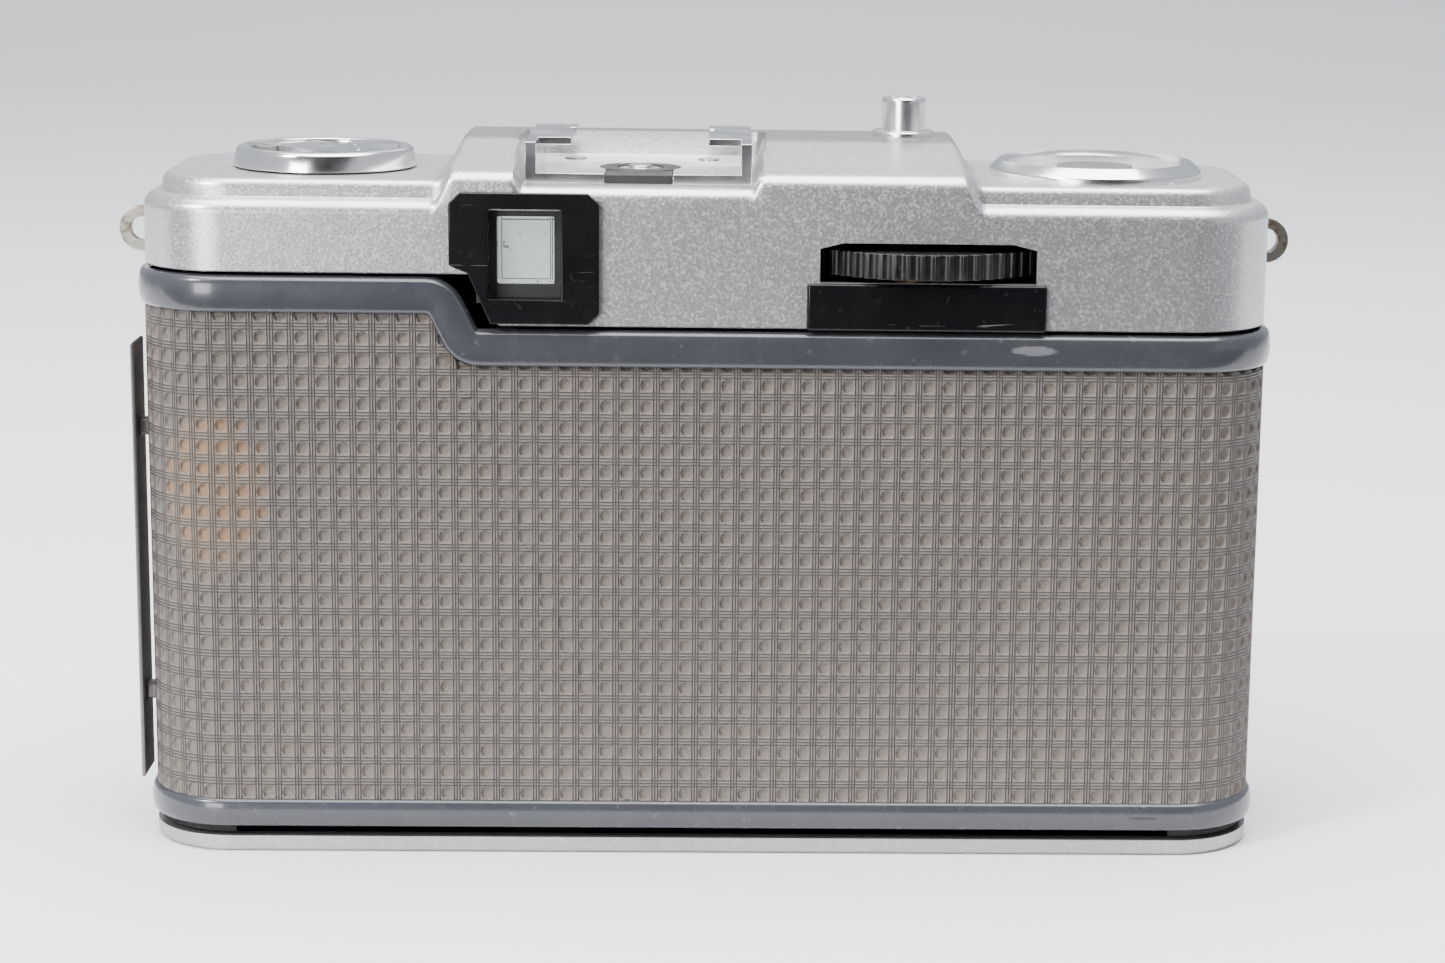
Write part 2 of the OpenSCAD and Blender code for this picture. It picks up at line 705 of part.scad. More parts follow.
module pressure_spring() color("silver")
    for (z = [16, 34]) translate([0, 0, z]) linear_extrude(4) polygon([
        [-10, -back_y + 1.1], [-8, -back_y + 1.1], [-1.5, film_y - 1.9], [1.5, film_y - 1.9],
        [8, -back_y + 1.1], [10, -back_y + 1.1], [10, -back_y + 1.3], [8.1, -back_y + 1.3],
        [1.6, film_y - 1.7], [-1.6, film_y - 1.7], [-8.1, -back_y + 1.3], [-10, -back_y + 1.3]]);

module pressure_plate() color("black") difference() {
    box(-15, 15, film_y - 1.2, film_y - 0.3, 10.5, 43.5);
    for (z = [12.5, 41.5]) box(-13, 13, film_y - 0.5, film_y, z - 0.4, z + 0.4);
}

module latch_plate() color("silver")
    box(-half_w - 1.6, -half_w - 0.6, -9.6, -4.4, 6, 48.5);

module latch_pins() color("gray") for (z = [14, 40])
    box(-half_w - 0.6, -core_x - 0.25, -7.8, -6.2, z - 0.6, z + 1);

// ---- lens, meter and shutter ----

module lens_base() color("silver") lens_ring(front_y, front_y + 1.8, ring_r - 0.6, 14);

module aperture_ring() color("silver") difference() {
    lens_ring(front_y + 2, front_y + 6, ring_r, cell_r + 0.65);
    notches = 72;
    for (i = [0 : notches - 1]) translate([0, 0, lens_z]) rotate([0, i * 360 / notches, 0])
        translate([ring_r + 0.1, 0, 0]) rotate([-90, 0, 0]) translate([0, 0, front_y + 2.8])
            cylinder(h = 2.4, r = 0.5, $fn = 16);
}

module selenium_cell() color("saddlebrown") lens_ring(front_y + 4, front_y + 4.8, cell_r, 14);

module cell_window() color("white", 0.4) lens_ring(front_y + 6.4, front_y + 8, cell_r, 14.6);

module lens_barrel() color("gray") difference() {
    union() {
        lens_ring(3, front_y + 7, 13.2, 9.6);
        lens_ring(front_y, front_y + 4, 14, 9.6);
        lens_ring(front_y + 1.9, front_y + 8.2, cell_r + 0.6, cell_r);
        lens_ring(front_y + 1.9, front_y + 3, cell_r + 0.6, 13.9);
    }
    lens_rod(0, 4.5, 10.6);
}

module focus_ring() color("dimgray") difference() {
    lens_ring(front_y + 7.3, front_y + 14.4, 14.2, 10.05);
    notches = 48;
    for (i = [0 : notches - 1]) translate([0, 0, lens_z]) rotate([0, i * 360 / notches, 0])
        translate([14.3, 0, 0]) rotate([-90, 0, 0]) translate([0, 0, front_y + 9])
            cylinder(h = 4.4, r = 0.5, $fn = 16);
}

module front_bezel() color("black") difference() {
    union() {
        lens_ring(front_y + 7.3, front_y + lens_len, 10, 7.4);
        lens_ring(front_y + 14.6, front_y + lens_len, 12.8, 7.4);
    }
    lens_rod(front_y + lens_len - 1.6, front_y + lens_len + 1, 10.5);
}

module front_element() color("lightblue") lens_rod(front_y + 15, front_y + 17, 7.35);

module rear_element() color("lightblue") lens_rod(9.6, 12.4, 9.5);

module shutter_plate() color("black") difference() {
    lens_rod(5, 6, 9.5);
    lens_rod(4, 7, 3.4);
    for (z = [-7.4, 7.4]) translate([0, 0, z]) lens_rod(4, 7, 0.75);
}

// A blade that covers half of the opening and turns about a pin near its end
module blade(side) union() {
    translate([0, side > 0 ? 6.15 : 6.5, lens_z]) rotate([-90, 0, 0]) linear_extrude(0.25) union() {
        translate([0, -side * 7.4]) circle(1.5);
        polygon([[-1.5, -side * 7.4], [-4.2, -side * 3], [-4.2, side * 0.6],
                 [4.2, side * 0.6], [4.2, -side * 3], [1.5, -side * 7.4]]);
    }
    translate([0, 0, side * 7.4]) lens_rod(5.1, side > 0 ? 6.35 : 6.7, 0.7);
}

module shutter_blade_upper() color("darkslategray") blade(1);

module shutter_blade_lower() color("darkslategray") blade(-1);

module meter_housing() color("gray") difference() {
    box(-9.5, 3.5, 10.2, 13.7, 52, 61.4);
    box(-8.5, 2.5, 9, 12.9, 53, 60.6);
}

module meter_needle() color("orangered") union() {
    box(-3.3, -2.7, 11, 11.4, 54.2, 59.8);
    translate([-3, 10.6, 54.8]) rotate([-90, 0, 0]) cylinder(h = 2.2, r = 0.6);
}

module rewind_release() color("silver") union() {
    rod(advance_x, advance_y, 0.2, 2.2, 2);
    rod(advance_x, advance_y, 2.2, 2.6, 2.4);
}

body_front();
front_rims();
union() {  // deck_plates
    deck_lower();
    deck_upper();
}
union() {  // film_chambers
    cassette_chamber();
    spool_chamber();
}
film_gate();
front_leatherette();
base_plate();
tripod_bush();
union() {  // screws
    base_screws();
    shoe_screws();
}
top_cover();
wheel_guard();
eyepiece_frame();
eyepiece_lens();
finder_tube();
finder_window();
finder_objective();
hot_shoe();
shoe_insulator();
shoe_contact();
union() {  // strap_lugs
    strap_lug_left();
    strap_lug_right();
}
release_collar();
release_spring();
counter_bezel();
counter_window();
hinge_ears();
hinge_pins();
light_seals();
lens_base();
lens_barrel();
selenium_cell();
cell_window();
front_bezel();
front_element();
rear_element();
shutter_plate();
meter_housing();
back_door();
door_leatherette();
pressure_spring();
pressure_plate();
union() {
    latch_plate();
    latch_pins();
}
shutter_button();
release_rod();
rewind_sleeve();
rewind_knob();
union() {  // rewind_fork_pin
    rewind_fork();
    crank_pin();
}
rewind_crank();
crank_grip();
thumbwheel();
wheel_gear();
sprocket_drum();
take_up_spool();
spool_gear();
counter_dial();
rewind_release();
focus_ring();
aperture_ring();
shutter_blade_upper();
shutter_blade_lower();
meter_needle();
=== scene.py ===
import json
from math import asin, cos, hypot, pi, radians, sin, sqrt, tan

import bmesh
import bpy
from bpy.props import FloatProperty, FloatVectorProperty, PointerProperty
from mathutils import Matrix, Vector


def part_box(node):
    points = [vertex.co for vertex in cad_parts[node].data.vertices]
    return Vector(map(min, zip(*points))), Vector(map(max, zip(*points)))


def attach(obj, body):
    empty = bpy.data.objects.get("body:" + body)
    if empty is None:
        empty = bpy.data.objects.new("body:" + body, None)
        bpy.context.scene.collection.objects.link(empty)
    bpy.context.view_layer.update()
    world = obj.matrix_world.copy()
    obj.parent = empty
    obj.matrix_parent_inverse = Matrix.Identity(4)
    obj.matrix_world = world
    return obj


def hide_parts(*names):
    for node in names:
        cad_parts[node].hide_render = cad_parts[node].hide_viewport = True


bl_info = {
    "name": "Half-frame camera looks",
    "version": (1, 0, 0),
    "blender": (4, 5, 0),
    "location": "View3D > Sidebar > Camera",
    "description": "Builds the visible skins, trims, glass and finishes of a half-frame film camera",
    "category": "Object",
}

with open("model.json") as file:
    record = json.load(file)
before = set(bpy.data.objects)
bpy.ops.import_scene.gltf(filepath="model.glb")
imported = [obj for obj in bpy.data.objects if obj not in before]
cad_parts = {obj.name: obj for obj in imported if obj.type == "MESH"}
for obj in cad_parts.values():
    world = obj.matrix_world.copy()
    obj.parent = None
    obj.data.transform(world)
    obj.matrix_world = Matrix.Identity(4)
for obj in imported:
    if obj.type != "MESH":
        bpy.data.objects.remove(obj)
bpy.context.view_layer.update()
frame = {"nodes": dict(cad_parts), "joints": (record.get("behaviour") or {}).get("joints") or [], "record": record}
MM = 0.001


# ---- places taken from the frame ----

def span(node):
    """Lowest and highest corner of a node, in millimetres."""
    low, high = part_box(node)
    return low / MM, high / MM


def centre(node):
    low, high = span(node)
    return (low + high) / 2


BASE_LOW, BASE_HIGH = span("base_plate")
HALF_W = BASE_HIGH.x
BACK_Y = BASE_LOW.y
FRONT_Y = BASE_HIGH.y
DOOR_LOW, DOOR_HIGH = span("back_door")
DOOR_END_Y = span("door_leatherette")[1].y
LENS = centre("lens_base")
KNOB = span("rewind_knob")
KNOB_AXIS = centre("rewind_sleeve")
DIAL = centre("counter_dial")
BUTTON = centre("shutter_button")
SHOE = span("hot_shoe")
EYE = span("eyepiece_frame")
COVER = span("top_cover")
PIT_Z = (DOOR_LOW.z + span("door_leatherette")[1].z) / 2 - 0.43
LEATHER_LOW_Z = span("door_leatherette")[0].z
LEATHER_STEP_Z = span("door_leatherette")[1].z
LEATHER_Z = span("front_leatherette")[1].z - 0.1
DOOR_EDGE_Z = LEATHER_Z + 3.5


# ---- sizes and colours that a user would change ----

class SkinSizes(bpy.types.PropertyGroup):
    corner: FloatProperty(name="Corner radius", description="Radius of the body's corners in plan, in mm",
        default=8.0, min=6, max=9)
    pitch_u: FloatProperty(name="Pit pitch along the body",
        description="Distance between pits sideways, in mm", default=1.891, min=1, max=4)
    pitch_z: FloatProperty(name="Pit pitch upwards", description="Distance between pits upwards, in mm",
        default=2.094, min=1, max=4)
    pit_wall: FloatProperty(name="Land between pits",
        description="Half of the flat land between two pits, in mm", default=0.40, min=0.1, max=0.8)
    pit_depth: FloatProperty(name="Pit depth", description="Depth of a pit, in mm", default=0.38,
        min=0.02, max=0.4)
    bead_proud: FloatProperty(name="Bead height",
        description="How far the painted bead stands over the leatherette, in mm", default=0.5, min=0.1,
            max=0.8)
    step_x: FloatProperty(name="Step place", description="Where the door's upper edge steps down, in mm",
        default=-23.8, min=-40, max=0)
    ledge_z: FloatProperty(name="Ledge height",
        description="Height of the cover's rounded lower edge, in mm", default=62.8, min=61, max=64)
    tier_z: FloatProperty(name="Shoulder height",
        description="Height of the cover's raised shoulders, in mm", default=64.5, min=63, max=66)
    hump_half: FloatProperty(name="Hump half width",
        description="Half of the width of the hump at its foot, in mm", default=25.4, min=20, max=30)
    cover_edge: FloatProperty(name="Cover edge radius",
        description="Radius of the cover's rounded edge, in mm", default=1.3, min=0.5, max=2)
    step_run: FloatProperty(name="Step run", description="Sideways run of the slanted step, in mm",
        default=2.6, min=1, max=6)


class FinishColours(bpy.types.PropertyGroup):
    leather: FloatVectorProperty(name="Leatherette", description="Colour of the embossed vinyl",
        subtype="COLOR", size=3, default=(0.172, 0.152, 0.142), min=0, max=1)
    dirt: FloatVectorProperty(name="Dirt", description="Colour of the dirt in the pits", subtype="COLOR",
        size=3, default=(0.20, 0.155, 0.11), min=0, max=1)
    paint: FloatVectorProperty(name="Slate paint", description="Colour of the painted beads",
        subtype="COLOR", size=3, default=(0.036, 0.038, 0.046), min=0, max=1)
    chrome: FloatVectorProperty(name="Satin chrome", description="Colour of the plated covers",
        subtype="COLOR", size=3, default=(0.70, 0.70, 0.715), min=0, max=1)
    black: FloatVectorProperty(name="Black", description="Colour of the black trims", subtype="COLOR",
        size=3, default=(0.002, 0.002, 0.003), min=0, max=1)


def sizes():
    return bpy.context.scene.camera_skin


def colours():
    return bpy.context.scene.camera_colours


# ---- shader groups ----

def new_group(name, inputs, outputs):
    group = bpy.data.node_groups.new(name, "ShaderNodeTree")
    for label, kind, value in inputs:
        socket = group.interface.new_socket(label, in_out="INPUT", socket_type=kind)
        if value is not None:
            socket.default_value = value
    for label, kind in outputs:
        group.interface.new_socket(label, in_out="OUTPUT", socket_type=kind)
    return group, Wiring(group)


class Wiring:
    """Adds and links nodes in one tree."""

    def __init__(self, tree):
        self.tree = tree
        self.nodes = tree.nodes

    def add(self, kind, values=None, **settings):
        node = self.nodes.new(kind)
        for key, value in settings.items():
            setattr(node, key, value)
        for key, value in (values or {}).items():
            if isinstance(value, bpy.types.NodeSocket):
                self.tree.links.new(value, node.inputs[key])
            else:
                node.inputs[key].default_value = value
        return node

    def maths(self, operation, a, b=0.0, clamp=False):
        node = self.add("ShaderNodeMath", {0: a, 1: b}, operation=operation, use_clamp=clamp)
        return node.outputs[0]

    def mix(self, factor, a, b):
        node = self.add("ShaderNodeMix", {"Factor": factor}, data_type="RGBA")
        for key, value in ((6, a), (7, b)):
            if isinstance(value, bpy.types.NodeSocket):
                self.tree.links.new(value, node.inputs[key])
            else:
                node.inputs[key].default_value = (*value[:3], 1)
        return node.outputs[2]

    def ramp(self, factor, stops, mode="LINEAR"):
        node = self.add("ShaderNodeValToRGB", {"Fac": factor})
        node.color_ramp.interpolation = mode
        elements = node.color_ramp.elements
        elements[0].position = stops[0][0]
        elements[1].position = stops[-1][0]
        for place, _ in stops[1:-1]:
            elements.new(place)
        for place, value in stops:
            element = min(elements, key=lambda e: abs(e.position - place))
            element.color = (value, value, value, 1)
        return node.outputs[0]

    def place(self):
        """Object coordinates."""
        return self.add("ShaderNodeTexCoord").outputs["Object"]

    def noise(self, vector, scale, detail=3.0, rough=0.5):
        node = self.add("ShaderNodeTexNoise", {"Vector": vector, "Scale": scale, "Detail": detail,
            "Roughness": rough})
        return node.outputs[0]

    def group(self, name, values=None):
        node = self.add("ShaderNodeGroup", node_tree=bpy.data.node_groups[name])
        for key, value in (values or {}).items():
            if isinstance(value, bpy.types.NodeSocket):
                self.tree.links.new(value, node.inputs[key])
            elif isinstance(value, (tuple, list)):
                node.inputs[key].default_value = (*value[:3], 1)
            else:
                node.inputs[key].default_value = value
        return node


def group_grain():
    """Sparkling grain of blasted and plated metal: a value and a height."""
    group, w = new_group(
        "plated grain",
        [("Scale", "NodeSocketFloat", 4500.0), ("Contrast", "NodeSocketFloat", 0.3)],
        [("Value", "NodeSocketFloat"), ("Height", "NodeSocketFloat")])
    inlet = w.add("NodeGroupInput")
    place = w.place()
    fine = w.noise(place, inlet.outputs["Scale"], 2.0, 0.6)
    cells = w.add("ShaderNodeTexVoronoi", {"Vector": place, "Scale": inlet.outputs["Scale"]},
        feature="F1")
    glint = w.ramp(fine, [(0.42, 0.0), (0.56, 0.35), (0.66, 1.0)])
    height = w.maths("ADD", fine, w.maths("MULTIPLY", cells.outputs["Distance"], 0.6))
    outlet = w.add("NodeGroupOutput")
    w.tree.links.new(w.maths("MULTIPLY", glint, inlet.outputs["Contrast"]), outlet.inputs["Value"])
    w.tree.links.new(height, outlet.inputs["Height"])


def group_dust():
    """Pale specks and a soft film of dust, heavier on faces that look up."""
    group, w = new_group(
        "dust and specks",
        [("Amount", "NodeSocketFloat", 0.3), ("Speck scale", "NodeSocketFloat", 900.0)],
        [("Mask", "NodeSocketFloat")])
    inlet = w.add("NodeGroupInput")
    place = w.place()
    facing = w.add("ShaderNodeSeparateXYZ",
        {0: w.add("ShaderNodeNewGeometry").outputs["Normal"]}).outputs["Z"]
    up = w.maths("ADD", w.maths("MULTIPLY", facing, 0.35), 0.65, clamp=True)
    specks = w.ramp(w.noise(place, inlet.outputs["Speck scale"], 1.0, 0.4), [(0.69, 0.0), (0.75, 1.0)])
    film = w.ramp(w.noise(place, 160.0, 5.0, 0.65), [(0.40, 0.0), (0.75, 0.35)])
    both = w.maths("ADD", specks, film, clamp=True)
    outlet = w.add("NodeGroupOutput")
    w.tree.links.new(w.maths("MULTIPLY", w.maths("MULTIPLY", both, up), inlet.outputs["Amount"]),
        outlet.inputs["Mask"])


def group_scratches():
    """Long thin hairline scratches in three directions."""
    group, w = new_group(
        "hairline scratches",
        [("Amount", "NodeSocketFloat", 0.5), ("Scale", "NodeSocketFloat", 60.0)],
        [("Mask", "NodeSocketFloat")])
    inlet = w.add("NodeGroupInput")
    place = w.place()
    total = None
    for turn, shift in ((0.5, 0.0), (-0.75, 0.3), (1.5, 0.7)):
        moved = w.add("ShaderNodeMapping", {"Vector": place, "Location": (shift, shift, shift),
            "Rotation": (0.0, turn, 0.0), "Scale": (0.04, 1.0, 1.0)})
        lines = w.noise(moved.outputs[0], inlet.outputs["Scale"], 0.0)
        thin = w.ramp(lines, [(0.496, 0.0), (0.50, 1.0), (0.504, 0.0)])
        gate = w.ramp(w.noise(moved.outputs[0], 1100.0, 1.0), [(0.60, 0.0), (0.66, 1.0)])
        gate = w.maths("MULTIPLY", gate, w.ramp(w.noise(place, 260.0, 1.0), [(0.50, 0.0), (0.56, 1.0)]))
        thin = w.maths("MULTIPLY", thin, gate)
        total = thin if total is None else w.maths("MAXIMUM", total, thin)
    outlet = w.add("NodeGroupOutput")
    w.tree.links.new(w.maths("MULTIPLY", total, inlet.outputs["Amount"]), outlet.inputs["Mask"])


def group_weave():
    """Height and pit mask of the embossed leatherette, from a UV map in pitches."""
    group, w = new_group("embossed weave", [], [("Height", "NodeSocketFloat"), ("Pit", "NodeSocketFloat"),
        ("Line", "NodeSocketFloat")])
    uv = w.add("ShaderNodeUVMap", uv_map="UVMap").outputs[0]
    parts = w.add("ShaderNodeSeparateXYZ", {0: uv})
    lines = []
    reach = []
    for axis in ("X", "Y"):
        share = w.maths("FRACT", parts.outputs[axis])
        stops = [(0.0, 1.0)]
        for middle in (0.36, 0.50, 0.64):
            stops += [(middle - 0.05, 1.0), (middle, 0.0), (middle + 0.05, 1.0)]
        lines.append(w.ramp(share, stops + [(1.0, 1.0)], "EASE"))
        reach.append(w.ramp(share, [(0.0, 0.0), (0.22, 0.35), (0.30, 1.0), (0.70, 1.0), (0.78, 0.35),
            (1.0, 0.0)]))
    height = w.maths("MINIMUM", lines[0], lines[1])
    pit = w.maths("SUBTRACT", 1.0, w.maths("MAXIMUM", reach[0], reach[1]), clamp=True)
    flat = w.maths("MULTIPLY", w.maths("SUBTRACT", 1.0, height), w.maths("SUBTRACT", 1.0, pit))
    outlet = w.add("NodeGroupOutput")
    w.tree.links.new(w.maths("SUBTRACT", 1.0, flat), outlet.inputs["Height"])
    w.tree.links.new(pit, outlet.inputs["Pit"])
    w.tree.links.new(flat, outlet.inputs["Line"])


# ---- finishes ----

FINISHES = {}


def finish(name):
    """The material of that name, made on first use."""
    if name not in FINISHES:
        FINISHES[name] = MAKERS[name]()
    return FINISHES[name]


def blank(name, metallic=0.0, roughness=0.5, colour=(0.5, 0.5, 0.5), **sockets):
    material = bpy.data.materials.new(name)
    material.use_nodes = True
    w = Wiring(material.node_tree)
    shader = w.nodes["Principled BSDF"]
    shader.inputs["Base Color"].default_value = (*colour, 1)
    shader.inputs["Metallic"].default_value = metallic
    shader.inputs["Roughness"].default_value = roughness
    for key, value in sockets.items():
        shader.inputs[key.replace("_", " ")].default_value = value
    return material, w, shader


def bump(w, shader, height, distance, strength=1.0):
    node = w.add("ShaderNodeBump", {"Height": height, "Distance": distance, "Strength": strength})
    w.tree.links.new(node.outputs[0], shader.inputs["Normal"])


def link(w, out, shader, key):
    w.tree.links.new(out, shader.inputs[key])


def finish_satin_chrome(name="satin_chrome", rough=0.36, sparkle=0.50, strip=False, tint=1.0):
    base = tuple(c * tint for c in colours().chrome)
    material, w, shader = blank(name, metallic=0.86, roughness=rough, colour=base)
    grain = w.group("plated grain", {"Scale": 3900.0, "Contrast": sparkle})
    dust = w.group("dust and specks", {"Amount": 0.25, "Speck scale": 700.0})
    place = w.place()
    cloud = w.ramp(w.noise(place, 90.0, 4.0), [(0.35, 0.93), (0.65, 1.0)])
    dark = [c * 0.80 for c in base]
    bright = [min(1.0, c * 1.30) for c in base]
    speckled = w.mix(grain.outputs["Value"], dark, bright)
    shade = w.add("ShaderNodeMix", {"Factor": 1.0}, data_type="RGBA", blend_type="MULTIPLY")
    w.tree.links.new(speckled, shade.inputs[6])
    w.tree.links.new(cloud, shade.inputs[7])
    tone = w.mix(dust.outputs["Mask"], shade.outputs[2], (0.55, 0.53, 0.50))
    # painted reflection: where the strip attribute is set, across the flat front of the hump's top, the chrome is
    # darkened to grey for how that face reflects at a grazing view
    if strip:
        tone = w.mix(w.add("ShaderNodeAttribute", attribute_name="strip").outputs["Fac"], tone,
            (0.30, 0.29, 0.29))
    link(w, tone, shader, "Base Color")
    spread = w.maths("ADD", w.maths("MULTIPLY", grain.outputs["Value"], 0.25), rough - 0.04)
    link(w, spread, shader, "Roughness")
    bump(w, shader, grain.outputs["Height"], 0.000012, 0.7)
    return material


def finish_bright_chrome():
    material, w, shader = blank("bright_chrome", metallic=1.0, roughness=0.16, colour=(0.80, 0.80, 0.81))
    place = w.place()
    scratches = w.group("hairline scratches", {"Amount": 0.35, "Scale": 380.0})
    dust = w.group("dust and specks", {"Amount": 0.30, "Speck scale": 1100.0})
    smear = w.ramp(w.noise(place, 220.0, 5.0), [(0.3, 0.12), (0.7, 0.28)])
    link(w, w.maths("ADD", smear, w.maths("MULTIPLY", scratches.outputs["Mask"], 0.3)), shader,
        "Roughness")
    link(w, w.mix(dust.outputs["Mask"], (0.80, 0.80, 0.81), (0.42, 0.38, 0.32)), shader, "Base Color")
    bump(w, shader, w.noise(place, 1500.0, 2.0), 0.000006, 0.4)
    return material


def finish_steel():
    material, w, shader = blank("steel", metallic=1.0, roughness=0.34, colour=(0.50, 0.50, 0.51))
    place = w.place()
    turned = w.add("ShaderNodeMapping", {"Vector": place, "Scale": (1.0, 1.0, 30.0)}).outputs[0]
    lines = w.noise(turned, 700.0, 3.0)
    link(w, w.ramp(lines, [(0.3, 0.26), (0.7, 0.44)]), shader, "Roughness")
    link(w, w.mix(w.ramp(w.noise(place, 260.0, 4.0), [(0.5, 0.0), (0.75, 0.5)]), (0.50, 0.50, 0.51),
        (0.30, 0.27, 0.23)), shader, "Base Color")
    bump(w, shader, lines, 0.00001, 0.4)
    return material


def finish_nickel():
    material, w, shader = blank("lug_nickel", metallic=0.9, roughness=0.34, colour=(0.42, 0.37, 0.30))
    place = w.place()
    tarnish = w.ramp(w.noise(place, 900.0, 5.0), [(0.40, 0.0), (0.62, 1.0)])
    link(w, w.mix(tarnish, (0.46, 0.43, 0.38), (0.16, 0.12, 0.08)), shader, "Base Color")
    link(w, w.ramp(tarnish, [(0.0, 0.28), (1.0, 0.55)]), shader, "Roughness")
    bump(w, shader, w.noise(place, 2600.0, 3.0), 0.00002, 0.5)
    return material


def finish_pale_screw():
    material, w, shader = blank("pale_screw", metallic=0.4, roughness=0.5, colour=(0.52, 0.48, 0.40))
    place = w.place()
    link(w, w.mix(w.noise(place, 1600.0, 3.0), (0.44, 0.40, 0.32), (0.62, 0.58, 0.50)), shader,
        "Base Color")
    return material


def finish_slate_paint():
    base = tuple(colours().paint)
    material, w, shader = blank("slate_paint", roughness=0.28, colour=base, Coat_Weight=0.35,
        Coat_Roughness=0.06)
    place = w.place()
    dust = w.group("dust and specks", {"Amount": 0.12, "Speck scale": 900.0})
    cloud = w.ramp(w.noise(place, 120.0, 4.0), [(0.3, 0.0), (0.7, 1.0)])
    tone = w.mix(cloud, [c * 0.95 for c in base], [c * 1.06 for c in base])
    dusty = w.mix(dust.outputs["Mask"], tone, (0.34, 0.33, 0.32))
    # a worn oval on the upper bead and a dark graze on the lower one
    rubbed = mark(w, place, (30.6, BACK_Y, 49.4), (2.6, 3.0, 0.55))
    grazed = mark(w, place, (42.3, BACK_Y, 3.9), (1.9, 3.0, 0.22))
    worn = w.mix(rubbed, dusty, (0.13, 0.13, 0.14))
    link(w, w.mix(grazed, worn, (0.012, 0.011, 0.010)), shader, "Base Color")
    link(w, w.maths("ADD", w.ramp(w.noise(place, 420.0, 4.0), [(0.3, 0.20), (0.7, 0.30)]),
        w.maths("MULTIPLY", dust.outputs["Mask"], 0.4)), shader, "Roughness")
    bump(w, shader, w.noise(place, 300.0, 3.0), 0.00001, 0.2)
    return material


def mark(w, place, spot, reach):
    """A soft-edged, broken patch at a place, as a mask from 0 to 1."""
    moved = w.add("ShaderNodeMapping", {
        "Vector": place,
        "Location": [-s / r for s, r in zip(spot, reach)],
        "Scale": [1 / (r * MM) for r in reach]}).outputs[0]
    ball = w.add("ShaderNodeTexGradient", {"Vector": moved}, gradient_type="SPHERICAL").outputs["Fac"]
    broken = w.maths("MULTIPLY", w.maths("SUBTRACT", w.noise(place, 1400.0, 4.0), 0.5), 0.6)
    near = w.maths("MULTIPLY", ball, 8.0, clamp=True)
    return w.ramp(w.maths("ADD", ball, w.maths("MULTIPLY", broken, near)), [(0.10, 0.0), (0.32, 1.0)])


def finish_leatherette():
    base = tuple(colours().leather)
    material, w, shader = blank("leatherette", roughness=0.62, colour=base, Specular_IOR_Level=0.32)
    weave = w.group("embossed weave")
    place = w.place()
    blotch = w.ramp(w.noise(place, 55.0, 5.0, 0.6), [(0.3, 0.0), (0.7, 1.0)])
    tone = w.mix(blotch, [c * 0.93 for c in base], [c * 1.06 for c in base])
    grit = w.ramp(w.noise(place, 330.0, 4.0, 0.7), [(0.44, 0.10), (0.66, 1.0)])
    filled = w.maths("MULTIPLY", weave.outputs["Pit"], w.maths("MULTIPLY", grit, 0.45))
    # painted shade: the embossed grooves are darkened to 0.4 of the base colour, where shade falls in them
    groove_shaded = w.mix(weave.outputs["Line"], tone, [c * 0.40 for c in base])
    dirty = w.mix(filled, groove_shaded, tuple(colours().dirt))
    # painted shade: the leatherette is darkened to dark brown in a broken band along its upper edge, just below
    # the upper bead
    edge = w.add("ShaderNodeAttribute", attribute_name="edge").outputs["Fac"]
    bead_shade_mask = w.maths("MULTIPLY", edge, w.ramp(w.noise(place, 240.0, 4.0), [(0.35, 0.35), (0.6, 1.0)]))
    bead_shaded = w.mix(bead_shade_mask, dirty, (0.085, 0.062, 0.042))
    stain = w.maths("MULTIPLY", mark(w, place, (-46.4, BACK_Y, 36.0), (6.5, 9.0, 8.5)),
        w.maths("MULTIPLY", weave.outputs["Pit"], 0.42))
    faint = w.maths("MULTIPLY", mark(w, place, (-46.4, BACK_Y, 35.0), (6.0, 9.0, 10.0)), 0.14)
    stained = w.mix(stain, w.mix(faint, bead_shaded, (0.40, 0.25, 0.12)), (0.42, 0.20, 0.06))
    link(w, stained, shader, "Base Color")
    link(w, w.ramp(w.noise(place, 700.0, 3.0), [(0.3, 0.52), (0.7, 0.70)]), shader, "Roughness")
    grain = w.maths("MULTIPLY", w.noise(place, 5200.0, 3.0), 0.35)
    bump(w, shader, w.maths("ADD", weave.outputs["Height"], grain), 0.00020, 1.0)
    return material


def finish_black_gloss():
    material, w, shader = blank("black_gloss", roughness=0.28, colour=tuple(colours().black),
        Specular_IOR_Level=0.28)
    scratches = w.group("hairline scratches", {"Amount": 0.8, "Scale": 420.0})
    dust = w.group("dust and specks", {"Amount": 0.16, "Speck scale": 1100.0})
    mask = w.maths("MAXIMUM", scratches.outputs["Mask"], w.maths("MULTIPLY", dust.outputs["Mask"], 0.5))
    link(w, w.mix(mask, tuple(colours().black), (0.16, 0.155, 0.145)), shader, "Base Color")
    link(w, w.maths("ADD", w.maths("MULTIPLY", mask, 0.4), 0.27), shader, "Roughness")
    return material


def finish_black_matte():
    material, w, shader = blank("black_matte", roughness=0.55, colour=(0.012, 0.012, 0.013))
    place = w.place()
    dust = w.group("dust and specks", {"Amount": 0.22, "Speck scale": 1300.0})
    link(w, w.mix(dust.outputs["Mask"], (0.012, 0.012, 0.013), (0.20, 0.19, 0.18)), shader, "Base Color")
    link(w, w.ramp(w.noise(place, 600.0, 4.0), [(0.3, 0.42), (0.7, 0.65)]), shader, "Roughness")
    bump(w, shader, w.noise(place, 3200.0, 2.0), 0.00003, 0.5)
    return material


